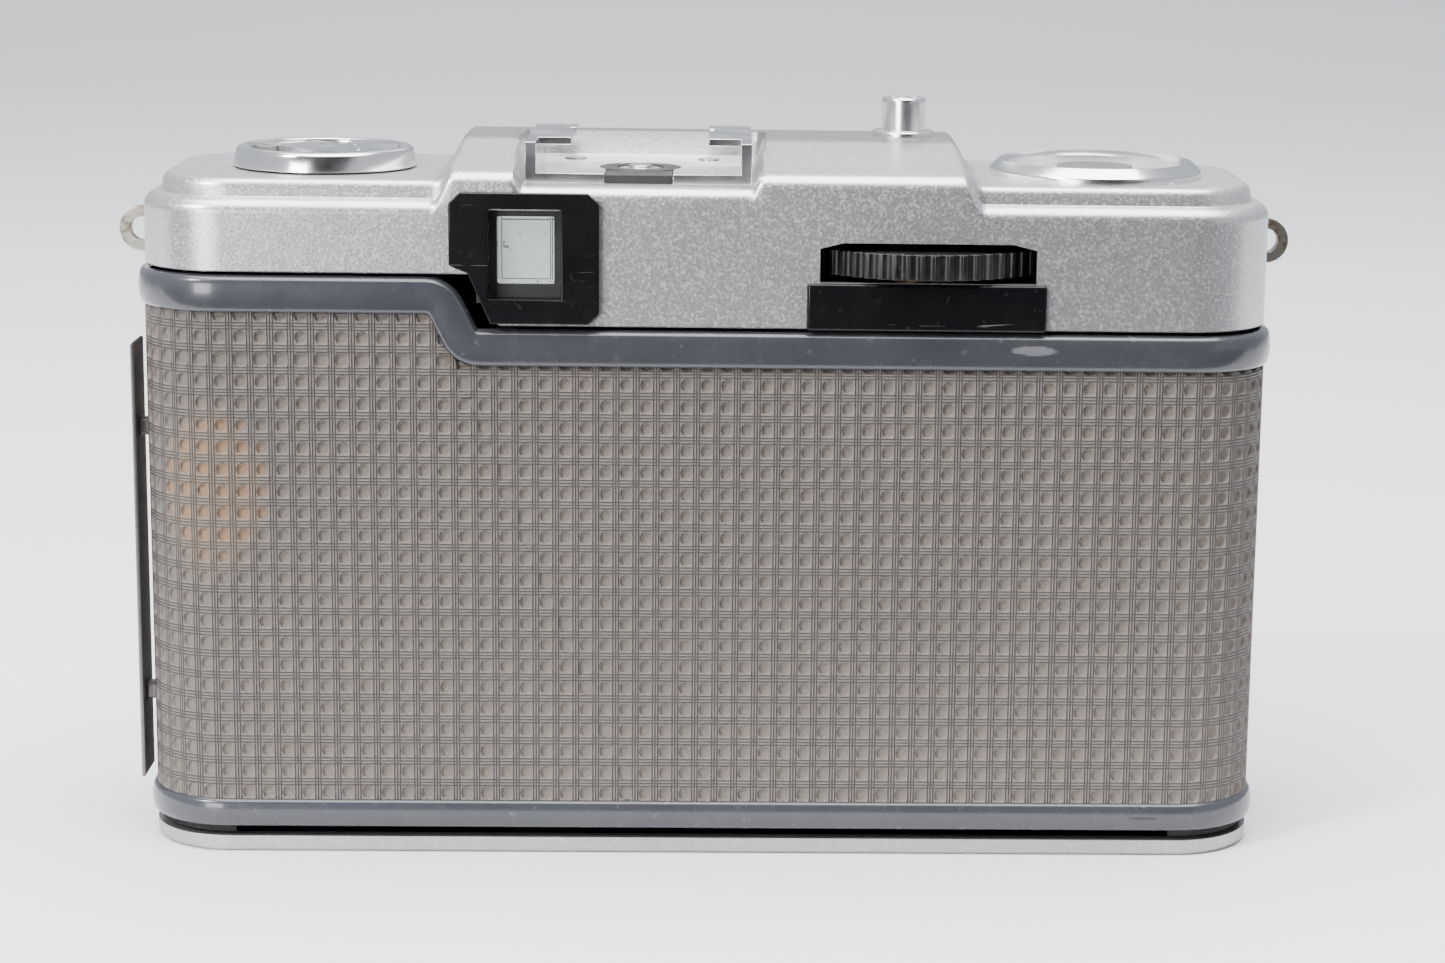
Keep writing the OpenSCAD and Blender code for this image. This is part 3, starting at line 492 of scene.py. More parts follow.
def finish_thumb_black():
    material, w, shader = blank("thumb_black", roughness=0.42, colour=(0.010, 0.010, 0.010))
    place = w.place()
    dust = w.group("dust and specks", {"Amount": 0.8, "Speck scale": 1500.0})
    rubbed = w.ramp(w.noise(place, 300.0, 5.0, 0.7), [(0.48, 0.0), (0.72, 0.5)])
    mask = w.maths("MAXIMUM", dust.outputs["Mask"], rubbed)
    link(w, w.mix(mask, (0.003, 0.003, 0.003), (0.035, 0.033, 0.030)), shader, "Base Color")
    link(w, w.maths("ADD", w.maths("MULTIPLY", mask, 0.3), 0.38), shader, "Roughness")
    bump(w, shader, w.noise(place, 2200.0, 3.0), 0.00003, 0.6)
    return material


def finish_casting_black():
    material, w, shader = blank("casting_black", roughness=0.6, colour=(0.014, 0.014, 0.015))
    place = w.place()
    wrinkle = w.add("ShaderNodeTexVoronoi", {"Vector": place, "Scale": 1700.0},
        feature="SMOOTH_F1").outputs["Distance"]
    link(w, w.mix(w.ramp(w.noise(place, 200.0, 4.0), [(0.45, 0.0), (0.8, 0.6)]), (0.012, 0.012, 0.013),
        (0.05, 0.048, 0.045)), shader, "Base Color")
    bump(w, shader, wrinkle, 0.00006, 0.6)
    return material


def finish_turned(name, colour, rough=0.28):
    material, w, shader = blank(name, metallic=1.0 if max(colour) > 0.1 else 0.2, roughness=rough,
        colour=colour)
    place = w.place()
    centred = w.add("ShaderNodeMapping", {"Vector": place, "Location": (0.0, 0.0,
        -LENS.z * MM)}).outputs[0]
    flat = w.add("ShaderNodeSeparateXYZ", {0: centred})
    radius = w.maths("SQRT", w.maths("ADD", w.maths("POWER", flat.outputs["X"], 2.0),
        w.maths("POWER", flat.outputs["Z"], 2.0)))
    rings = w.add("ShaderNodeCombineXYZ", {"X": w.maths("MULTIPLY", radius, 9000.0),
        "Y": w.maths("MULTIPLY", flat.outputs["Y"], 9000.0)}).outputs[0]
    lines = w.noise(rings, 1.0, 2.0)
    dust = w.group("dust and specks", {"Amount": 0.25, "Speck scale": 1000.0})
    link(w, w.mix(dust.outputs["Mask"], colour, (0.30, 0.29, 0.27)), shader, "Base Color")
    link(w, w.ramp(lines, [(0.3, rough - 0.06), (0.7, rough + 0.10)]), shader, "Roughness")
    bump(w, shader, lines, 0.000012, 0.5)
    return material


def finish_brass():
    material, w, shader = blank("brass", metallic=1.0, roughness=0.3, colour=(0.62, 0.44, 0.19))
    place = w.place()
    aged = w.ramp(w.noise(place, 500.0, 5.0), [(0.42, 0.0), (0.68, 1.0)])
    link(w, w.mix(aged, (0.64, 0.46, 0.20), (0.34, 0.21, 0.09)), shader, "Base Color")
    link(w, w.ramp(aged, [(0.0, 0.24), (1.0, 0.42)]), shader, "Roughness")
    return material


def finish_dial():
    material, w, shader = blank("dial_face", roughness=0.35, colour=(0.62, 0.63, 0.63), metallic=0.2)
    place = w.place()
    centred = w.add("ShaderNodeMapping", {"Vector": place, "Location": (-DIAL.x * MM, -DIAL.y * MM,
        0.0)}).outputs[0]
    flat = w.add("ShaderNodeSeparateXYZ", {0: centred})
    turn = w.maths("ARCTAN2", flat.outputs["Y"], flat.outputs["X"])
    radius = w.maths("SQRT", w.maths("ADD", w.maths("POWER", flat.outputs["X"], 2.0),
        w.maths("POWER", flat.outputs["Y"], 2.0)))
    share = w.maths("FRACT", w.maths("MULTIPLY", turn, 36 / pi))
    tick = w.ramp(share, [(0.40, 0.0), (0.44, 1.0), (0.56, 1.0), (0.60, 0.0)])
    band = w.ramp(w.maths("MULTIPLY", radius, 100.0), [(0.58, 0.0), (0.59, 1.0), (0.74, 1.0),
        (0.75, 0.0)])
    ticked = w.maths("MULTIPLY", tick, band)
    link(w, w.mix(ticked, (0.62, 0.63, 0.63), (0.02, 0.02, 0.02)), shader, "Base Color")
    bump(w, shader, w.noise(place, 2000.0, 2.0), 0.00001, 0.3)
    return material


def finish_glass(name="clear", colour=(1, 1, 1), rough=0.02, ior=1.49):
    material, w, shader = blank(name, roughness=rough, colour=colour, Transmission_Weight=1.0, IOR=ior)
    dust = w.group("dust and specks", {"Amount": 0.5, "Speck scale": 1500.0})
    link(w, w.maths("ADD", w.maths("MULTIPLY", dust.outputs["Mask"], 0.5), rough), shader, "Roughness")
    return material


def finish_window_clear():
    material, w, shader = blank("window_clear", roughness=0.06, colour=(0.80, 0.82, 0.83), Alpha=0.10)
    dust = w.group("dust and specks", {"Amount": 0.4, "Speck scale": 1500.0})
    link(w, w.ramp(dust.outputs["Mask"], [(0.0, 0.10), (1.0, 0.60)]), shader, "Alpha")
    return material


def finish_coated_glass():
    material, w, shader = blank("coated_glass", roughness=0.02, colour=(0.80, 0.84, 0.98),
        Transmission_Weight=0.92, IOR=1.6, Coat_Weight=0.6)
    shader.inputs["Coat Tint"].default_value = (0.45, 0.35, 0.9, 1)
    dust = w.group("dust and specks", {"Amount": 0.35, "Speck scale": 1500.0})
    link(w, w.maths("ADD", w.maths("MULTIPLY", dust.outputs["Mask"], 0.4), 0.02), shader, "Roughness")
    return material


def finish_glowing_view():
    """The pale view at the finder's far end, a glowing card of painted light, with a hairline frame and dust
    specks.
    """
    material, w, shader = blank("glowing_view", roughness=0.35, colour=(0.70, 0.76, 0.76))
    # painted light: the card glows, standing for the light that comes through the finder
    shader.inputs["Emission Strength"].default_value = 0.75
    place = w.place()
    specks = w.ramp(w.noise(place, 1500.0, 2.0), [(0.64, 0.0), (0.70, 1.0)])
    shade = w.mix(specks, (0.66, 0.73, 0.73), (0.20, 0.21, 0.20))
    link(w, shade, shader, "Base Color")
    link(w, shade, shader, "Emission Color")
    return material


def finish_selenium():
    material, w, shader = blank("selenium", metallic=0.5, roughness=0.3, colour=(0.10, 0.055, 0.035))
    place = w.place()
    link(w, w.mix(w.ramp(w.noise(place, 300.0, 4.0), [(0.3, 0.0), (0.7, 1.0)]), (0.07, 0.04, 0.03),
        (0.16, 0.10, 0.07)), shader, "Base Color")
    return material


def finish_foam():
    material, w, shader = blank("foam", roughness=0.95, colour=(0.012, 0.012, 0.012))
    place = w.place()
    bump(w, shader, w.add("ShaderNodeTexVoronoi", {"Vector": place, "Scale": 2600.0}).outputs["Distance"],
        0.0001, 0.9)
    return material


def finish_red():
    material, w, shader = blank("red_paint", roughness=0.4, colour=(0.55, 0.06, 0.02))
    place = w.place()
    link(w, w.mix(w.noise(place, 900.0), (0.50, 0.05, 0.02), (0.62, 0.08, 0.03)), shader, "Base Color")
    return material


def finish_floor():
    material, w, shader = blank("studio_floor", roughness=0.75, colour=(0.78, 0.80, 0.83))
    place = w.place()
    link(w, w.mix(w.noise(place, 3.0, 3.0), (0.84, 0.85, 0.87), (0.86, 0.87, 0.89)), shader, "Base Color")
    return material


def finish_room():
    material, w, shader = blank("dark_room", roughness=0.9, colour=(0.03, 0.03, 0.032))
    place = w.place()
    link(w, w.mix(w.noise(place, 2.0), (0.025, 0.025, 0.027), (0.04, 0.04, 0.042)), shader, "Base Color")
    return material


MAKERS = {
    "satin_chrome": finish_satin_chrome,
    "cover_chrome": lambda: finish_satin_chrome("cover_chrome", strip=True),
    "bright_chrome": finish_bright_chrome,
    "steel": finish_steel,
    "lug_nickel": finish_nickel,
    "pale_screw": finish_pale_screw,
    # painted shade: the base plate gets the satin chrome darkened to 0.68, for the shade on its downward-facing
    # surface
    "shaded_base_chrome": lambda: finish_satin_chrome("shaded_base_chrome", tint=0.68),
    "window_clear": finish_window_clear,
    "side_plate": lambda: finish_turned("side_plate", (0.20, 0.195, 0.185), 0.42),
    "slate_paint": finish_slate_paint,
    "leatherette": finish_leatherette,
    "black_gloss": finish_black_gloss,
    "black_matte": finish_black_matte,
    "thumb_black": finish_thumb_black,
    "casting_black": finish_casting_black,
    "anodised": lambda: finish_turned("anodised", (0.55, 0.55, 0.56)),
    "black_anodised": lambda: finish_turned("black_anodised", (0.014, 0.014, 0.015), 0.34),
    "brass": finish_brass,
    "dial_face": finish_dial,
    "clear": finish_glass,
    "coated_glass": finish_coated_glass,
    "glowing_view": finish_glowing_view,
    "selenium": finish_selenium,
    "foam": finish_foam,
    "red_paint": finish_red,
    "studio_floor": finish_floor,
    "dark_room": finish_room,
}


# ---- making pieces ----

BODY_OF = {node: body for body, nodes in frame["record"]["behaviour"]["bodies"].items() for node in nodes}


def piece(name, bm, finish_name, node=None, body=None, smooth=35, replace=()):
    """Makes an object from a bmesh in millimetres, gives it a finish and seats it on a body."""
    bmesh.ops.transform(bm, matrix=Matrix.Scale(MM, 4), verts=bm.verts)
    mesh = bpy.data.meshes.new(name)
    bm.to_mesh(mesh)
    bm.free()
    mesh.shade_smooth()
    mesh.set_sharp_from_angle(angle=radians(smooth))
    obj = bpy.data.objects.new(name, mesh)
    bpy.context.scene.collection.objects.link(obj)
    mesh.materials.append(finish(finish_name))
    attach(obj, body or BODY_OF[node])
    if replace:
        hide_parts(*replace)
    return obj


def bevelled(obj, width, segments=2, angle=35):
    """Adds a live bevel of that width in millimetres and evens the shading."""
    edge = obj.modifiers.new("edges", "BEVEL")
    edge.width = width * MM
    edge.segments = segments
    edge.limit_method = "ANGLE"
    edge.angle_limit = radians(angle)
    edge.harden_normals = False
    even = obj.modifiers.new("even shading", "WEIGHTED_NORMAL")
    even.keep_sharp = True
    return obj


def copy_of(node):
    """A merged copy of a CAD node's mesh, in millimetres, with its flat faces joined up."""
    bm = bmesh.new()
    bm.from_mesh(frame["nodes"][node].data)
    bmesh.ops.remove_doubles(bm, verts=bm.verts, dist=2e-6)
    bmesh.ops.transform(bm, matrix=Matrix.Scale(1 / MM, 4), verts=bm.verts)
    bmesh.ops.dissolve_limit(bm, angle_limit=radians(1.0), verts=bm.verts, edges=bm.edges)
    return bm


def softened(node, finish_name, width=0.12, segments=2, angle=35):
    """A CAD node with its sharp edges broken, standing for the node."""
    obj = piece(node + "_soft", copy_of(node), finish_name, node=node, replace=(node,))
    return bevelled(obj, width, segments, angle)


def dressed(node, finish_name):
    """A CAD node kept as it is, with its finish."""
    obj = frame["nodes"][node]
    obj.data.materials.clear()
    obj.data.materials.append(finish(finish_name))


def thickened(bm, faces, move):
    """Closes flat faces into a solid by extruding them along a vector."""
    new = bmesh.ops.extrude_face_region(bm, geom=faces)["geom"]
    bmesh.ops.translate(bm, vec=move, verts=[v for v in new if isinstance(v, bmesh.types.BMVert)])


def turned(profile, middle, axis="Z", steps=96):
    """A closed solid of revolution from (radius, height) points, made with a full spin."""
    bm = bmesh.new()
    verts = [bm.verts.new((r, 0, h)) for r, h in profile]
    edges = [bm.edges.new(pair) for pair in zip(verts, verts[1:] + verts[:1])]
    bmesh.ops.spin(bm, geom=verts + edges, cent=(0, 0, 0), axis=(0, 0, 1), angle=2 * pi, steps=steps,
        use_merge=True)
    bmesh.ops.remove_doubles(bm, verts=bm.verts, dist=1e-4)
    if axis == "Y":
        bmesh.ops.rotate(bm, cent=(0, 0, 0), matrix=Matrix.Rotation(-pi / 2, 3, "X"), verts=bm.verts)
    bmesh.ops.translate(bm, vec=middle, verts=bm.verts)
    bmesh.ops.recalc_face_normals(bm, faces=bm.faces)
    return bm


def arc(cx, cy, radius, start, end, steps=6):
    """Points of an arc in a profile, angles in degrees."""
    return [(cx + radius * cos(radians(start + (end - start) * i / steps)),
             cy + radius * sin(radians(start + (end - start) * i / steps))) for i in range(steps + 1)]


def wrap(u, z, out, side=-1):
    """The point at distance u along the body's wall, height z and that far outside it."""
    radius = sizes().corner
    flat = HALF_W - radius
    quarter = radius * pi / 2
    sign = 1 if u > 0 else -1
    run = abs(u)
    wall = -BACK_Y if side < 0 else FRONT_Y
    if run <= flat:
        x, y = run, wall + out
    elif run <= flat + quarter:
        turn = (run - flat) / radius
        x, y = flat + (radius + out) * sin(turn), wall - radius + (radius + out) * cos(turn)
    else:
        x, y = HALF_W + out, wall - radius - (run - flat - quarter)
    return Vector((sign * x, side * y, z))


def wall_end(y_end, side=-1):
    """Distance along the wall, from the middle to a place on the end face."""
    radius = sizes().corner
    wall = -BACK_Y if side < 0 else FRONT_Y
    return HALF_W - radius + radius * pi / 2 + wall - radius - side * y_end


def rounded_path(corners, radius, step=0.5):
    """Points and normals along a line of corners, with each bend made round."""
    points = []
    for i, corner in enumerate(corners):
        here = Vector(corner)
        if i in (0, len(corners) - 1):
            points.append(here)
            continue
        before = (Vector(corners[i - 1]) - here).normalized()
        after = (Vector(corners[i + 1]) - here).normalized()
        half = before.angle(after) / 2
        reach = radius / tan(half)
        start, end = here + before * reach, here + after * reach
        for k in range(9):
            t = k / 8
            points.append(start.lerp(here, t).lerp(here.lerp(end, t), t))
    dense = [points[0]]
    for a, b in zip(points, points[1:]):
        count = max(1, int((b - a).length / step))
        dense += [a.lerp(b, (k + 1) / count) for k in range(count)]
    result = []
    for i, point in enumerate(dense):
        along = (dense[min(i + 1, len(dense) - 1)] - dense[max(i - 1, 0)]).normalized()
        result.append((point, Vector((-along.y, along.x))))
    return result


def bead(path, half_width, proud, side, back=-0.45):
    """A rounded painted bead that follows a path on the body's wall."""
    across = 14
    bm = bmesh.new()
    bmesh.ops.create_grid(bm, x_segments=len(path) - 1, y_segments=across, size=1.0)
    for vert in bm.verts:
        place = round((vert.co.x + 1) / 2 * (len(path) - 1))
        point, normal = path[place]
        t = vert.co.y
        turn = asin(max(-1.0, min(1.0, t)))
        crown = sqrt(max(0.0, cos(turn))) if abs(t) < 1 else 0.0
        spot = point + normal * half_width * sin(turn)
        vert.co = wrap(spot.x, spot.y, back + (proud - back) * crown, side)
    bmesh.ops.recalc_face_normals(bm, faces=bm.faces)
    middle = bm.faces[:][len(bm.faces) // 2]
    if middle.normal.y * side < 0:
        bmesh.ops.reverse_faces(bm, faces=bm.faces)
    bmesh.ops.solidify(bm, geom=bm.faces[:], thickness=0.25)
    return bm


class Outline:
    """The upper edge of the door: high over the cassette, low over the take-up side,
    with a slanted step."""

    def __init__(self, high, low, top_x, foot_x):
        self.high, self.low, self.top_x, self.foot_x = high, low, top_x, foot_x

    def beyond(self, u, z, margin=0.0):
        """How far a point lies outside the edge, in mm; negative is inside."""
        slant = Vector((self.foot_x - self.top_x, self.low - self.high)).normalized()
        side = -slant.y * (u - self.foot_x) + slant.x * (z - self.low)
        over_low, over_high = z - self.low, z - self.high
        return max(over_high, min(over_low, side)) - margin

    def trim(self, bm, margin):
        """Cuts a flat pattern along the edge and drops what lies outside."""
        slant = Vector((self.foot_x - self.top_x, self.low - self.high)).normalized()
        out = Vector((-slant.y, slant.x, 0))
        cuts = [((0, self.low + margin, 0), (0, 1, 0)), ((0, self.high + margin, 0), (0, 1, 0)),
                (Vector((self.foot_x, self.low, 0)) + out * margin, out)]
        for spot, normal in cuts:
            bmesh.ops.bisect_plane(bm, geom=bm.verts[:] + bm.edges[:] + bm.faces[:], dist=1e-5,
                                   plane_co=spot, plane_no=normal)
        outside = [f for f in bm.faces if self.beyond(*f.calc_center_median()[:2], margin) > 0]
        bmesh.ops.delete(bm, geom=outside, context="FACES")


def crop(bm, axis, low, high):
    """Keeps the part of a flat pattern between two values on an axis."""
    normal = (1, 0, 0) if axis == 0 else (0, 1, 0)
    for value, clear in ((low, "clear_inner"), (high, "clear_outer")):
        spot = (value, 0, 0) if axis == 0 else (0, value, 0)
        bmesh.ops.bisect_plane(bm, geom=bm.verts[:] + bm.edges[:] + bm.faces[:], dist=1e-5,
                               plane_co=spot, plane_no=normal, **{clear: True})


def pitted_pattern(left, right, low, high):
    """A flat sheet of leatherette with its pits pressed in; u is x, height is y and out is z."""
    s = sizes()
    columns = 2 * int(max(-left, right) / s.pitch_u + 1.5) + 1
    first = -int((PIT_Z - low) / s.pitch_z + 1.5)
    rows = int((high - PIT_Z) / s.pitch_z + 1.5) - first + 1
    bm = bmesh.new()
    bmesh.ops.create_grid(bm, x_segments=columns, y_segments=rows, size=0.5)
    bmesh.ops.scale(bm, vec=(columns * s.pitch_u, rows * s.pitch_z, 1), verts=bm.verts)
    bmesh.ops.translate(bm, vec=(0, PIT_Z + (first + rows / 2 - 0.5) * s.pitch_z, 0), verts=bm.verts)
    floors = bm.faces[:]
    for width, depth in ((s.pit_wall, 0.0), (0.05, -0.50), (0.10, -0.42), (0.10, -0.08)):
        bmesh.ops.inset_individual(bm, faces=floors, thickness=width, depth=depth * s.pit_depth)
    crop(bm, 0, left, right)
    crop(bm, 1, low, high)
    return bm


def lay_on_wall(bm, side, edge_of, out=0.0):
    """Gives a flat pattern its UV map in pitches and its edge attribute, then wraps it on the wall."""
    s = sizes()
    uv = bm.loops.layers.uv.new("UVMap")
    edge = bm.verts.layers.float.new("edge")
    for vert in bm.verts:
        vert[edge] = edge_of(vert.co.x, vert.co.y)
        for loop in vert.link_loops:
            loop[uv].uv = (vert.co.x / s.pitch_u, (vert.co.y - PIT_Z) / s.pitch_z)
    rim = [e for e in bm.edges if e.is_boundary]
    skirt = bmesh.ops.extrude_edge_only(bm, edges=rim)["geom"]
    bmesh.ops.translate(bm, vec=(0, 0, -0.4), verts=[v for v in skirt if isinstance(v,
        bmesh.types.BMVert)])
    for vert in bm.verts:
        vert.co = wrap(vert.co.x, vert.co.y, vert.co.z + out, side)
    if side > 0:
        bmesh.ops.reverse_faces(bm, faces=bm.faces)


def round_pits(obj):
    """One level of subdivision, which rounds the pits' corners."""
    level = obj.modifiers.new("round pits", "SUBSURF")
    level.levels = 1
    level.render_levels = 1
    return obj


# ---- the pressed top cover ----

def smooth(t):
    t = max(0.0, min(1.0, t))
    return t * t * (3 - 2 * t)


STEP = ((1.40, 0.0), (1.52, 0.05), (1.62, 0.32), (1.72, 0.62), (1.86, 0.83), (2.08, 0.95), (2.4, 0.99),
    (2.8, 1.0))


class CoverShape:
    """The pressed top cover: a wall, a rounded edge, a raised tier and the hump with its trough."""

    def __init__(self):
        s = sizes()
        self.low, self.half, self.back, self.front = COVER[0].z, HALF_W - 0.2, BACK_Y, FRONT_Y
        self.corner = s.corner
        self.ledge, self.tier, self.top = s.ledge_z, s.tier_z, COVER[1].z
        self.hump = s.hump_half
        self.edge = s.cover_edge
        self.mid_y = (self.back + self.front) / 2
        self.depth = (self.front - self.back) / 2
        self.rings = [0, 0.03, 0.12, 0.27, 0.48, 0.74, 1.04, 1.30] + [d for d, _ in STEP] + \
                     [3.4, 4.4, 5.6, 7.2, 9.2, 11.2, 12.8, self.depth]

    def height(self, x, y, inset):
        tier = self.tier
        for (d0, v0), (d1, v1) in zip(STEP, STEP[1:]):
            if inset <= d1:
                tier = self.ledge + (self.tier - self.ledge) * (v0 + (v1 - v0) * max(0.0,
                    (inset - d0) / (d1 - d0)))
                break
        rise = self.top - 1.75 + 1.75 * min(1.0, (y - self.back) / 18.6)
        z = tier + (rise - tier) * smooth((self.hump + 0.3 - abs(x)) / 2.0)
        low, high = SHOE
        if y < high.y + 1.6:
            beside = max(low.x - 0.1 - x, x - high.x - 0.1, y - high.y - 0.2)
            if beside < 1.7:
                z = min(z, low.z + max(0.0, self.top - low.z) * smooth(beside / 1.7 + 0.04) * 1.06)
        if hypot(x - DIAL.x, y - DIAL.y) < 8.9:
            z = min(z, self.tier - 0.9)
        drop = self.edge - sqrt(max(0.0, self.edge ** 2 - max(0.0, self.edge - inset) ** 2))
        return z - drop

    def outline(self):
        """Outer points with the place on the middle line that each one shrinks towards."""
        spots = []
        flat = self.half - self.corner
        eye, slot = s_eye(), s_slot()
        marks = [eye[0], eye[1], slot[0], slot[1]]
        along = sorted(set([round(-flat + 2 * flat * i / 230, 4) for i in range(231)] + marks))
        reach = self.half - self.depth
        spots += [(x, self.back, max(-reach, min(reach, x))) for x in along]
        for i in range(1, 16):
            a = radians(-90 + 6 * i)
            spots.append((flat + self.corner * cos(a), self.back + self.corner + self.corner * sin(a),
                reach))
        ends = self.front - self.back - 2 * self.corner
        rise = sorted(set([round(self.back + self.corner + ends * i / 26,
            4) for i in range(27)] + [DOOR_END_Y + 0.4, DOOR_END_Y + 0.42]))
        spots += [(self.half, y, reach) for y in rise]
        for i in range(1, 16):
            a = radians(6 * i)
            spots.append((flat + self.corner * cos(a), self.front - self.corner + self.corner * sin(a),
                reach))
        spots += [(x, self.front, max(-reach, min(reach, x))) for x in reversed(along)]
        for i in range(1, 16):
            a = radians(90 + 6 * i)
            spots.append((-flat + self.corner * cos(a), self.front - self.corner + self.corner * sin(a),
                -reach))
        spots += [(-self.half, y, -reach) for y in reversed(rise)]
        for i in range(1, 16):
            a = radians(180 + 6 * i)
            spots.append((-flat + self.corner * cos(a), self.back + self.corner + self.corner * sin(a),
                -reach))
        return spots

    def foot(self, x, y):
        """Height of the wall's lower edge, which clears the raised part of the door."""
        if y > DOOR_END_Y + 0.41:
            return self.low
        step = DOOR_HIGH.z + 0.3
        foot_x = EYE[0].x + 4.4
        return self.low + (step - self.low) * max(0.0, min(1.0, (foot_x - x) / 2.2))

    def build(self):
        spots = self.outline()
        bm = bmesh.new()
        strip = bm.verts.layers.float.new("strip")
        levels = [s_slot()[2], s_slot()[3], s_eye()[2], s_eye()[3]]
        rows = []
        for name in ("foot", "round", *sorted(levels)):
            row = []
            for x, y, _ in spots:
                foot = self.foot(x, y)
                z = {"foot": foot, "round": foot + 0.12}.get(name, name)
                z = min(max(z, foot + (0.12 if name != "foot" else 0)), self.height(x, y, 0.0) - 0.05)
                pull = 0.12 if name == "foot" else 0.0
                row.append(bm.verts.new(self.shrink(x, y, _, pull) + (z,)))
            rows.append(row)
        for inset in self.rings:
            row = []
            for x, y, target in spots:
                px, py = self.shrink(x, y, target, inset)
                vert = bm.verts.new((px, py, self.height(px, py, inset)))
                # strip marks the flat front of the hump's top, which the cover finish darkens as a painted
                # reflection
                vert[strip] = smooth((py - 3.4) / 0.5) * smooth((vert.co.z - self.top + 0.5) / 0.3)
                row.append(vert)
            rows.append(row)
        count = len(spots)
        for lower, upper in zip(rows, rows[1:]):
            for i in range(count):
                k = (i + 1) % count
                bm.faces.new((lower[i], lower[k], upper[k], upper[i]))
        bmesh.ops.remove_doubles(bm, verts=bm.verts, dist=2e-3)
        bmesh.ops.dissolve_degenerate(bm, edges=bm.edges, dist=1e-3)
        for x0, x1, z0, z1 in (s_slot(), s_eye()):
            hole = [f for f in bm.faces if inside(f, x0, x1, z0, z1, self.back)]
            bmesh.ops.delete(bm, geom=hole, context="FACES")
        for x, y, radius in ((KNOB_AXIS.x, KNOB_AXIS.y, 3.36), (BUTTON.x, BUTTON.y, 2.6),
                (DIAL.x, DIAL.y, 1.3)):
            punch(bm, x, y, radius)
        bmesh.ops.recalc_face_normals(bm, faces=bm.faces)
        outside = set(bm.faces)
        bmesh.ops.solidify(bm, geom=bm.faces[:], thickness=0.7)
        # the inner side and the cut edges get the black matte finish, painted shade inside the slot and the other
        # openings
        for face in bm.faces:
            face.material_index = 0 if face in outside else 1
        bmesh.ops.recalc_face_normals(bm, faces=bm.faces)
        return bm

    def shrink(self, x, y, target, inset):
        share = inset / self.depth
        run = x + (target - x) * share
        fall = y + (self.mid_y - y) * share
        return run, fall


def s_slot():
    """Left, right, bottom and top of the slot for the advance wheel."""
    guard = span("wheel_guard")
    return guard[0].x + 1.2, guard[1].x - 1.0, guard[1].z + 0.05, guard[1].z + 3.75


def s_eye():
    """Left, right, bottom and top of the opening behind the eyepiece."""
    return EYE[0].x + 2.6, EYE[1].x - 2.6, EYE[0].z + 1.5, EYE[1].z - 1.7


def inside(face, x0, x1, z0, z1, y):
    middle = face.calc_center_median()
    return abs(middle.y - y) < 0.01 and x0 < middle.x < x1 and z0 < middle.z < z1


def punch(bm, x, y, radius):
    """Opens a round hole in a top and draws its edge onto the circle."""
    near = {f for f in bm.faces if f.calc_center_median().z > COVER[0].z + 9
            and all(hypot(v.co.x - x, v.co.y - y) < radius + 0.3 for v in f.verts)}
    edge = {v for f in near for v in f.verts if any(g not in near for g in v.link_faces)}
    bmesh.ops.delete(bm, geom=list(near), context="FACES")
    for vert in edge:
        if vert.is_valid:
            away = Vector((vert.co.x - x, vert.co.y - y, 0))
            away = away.normalized() * radius
            vert.co.x, vert.co.y = x + away.x, y + away.y


# ---- operators: one for each group of pieces ----

class CAMERA_OT_finishes(bpy.types.Operator):
    """Makes the shared shader groups"""
    bl_idname = "halfframe.finishes"
    bl_label = "Shader groups"

    def execute(self, context):
        for make in (group_grain, group_dust, group_scratches, group_weave):
            make()
        return {"FINISHED"}


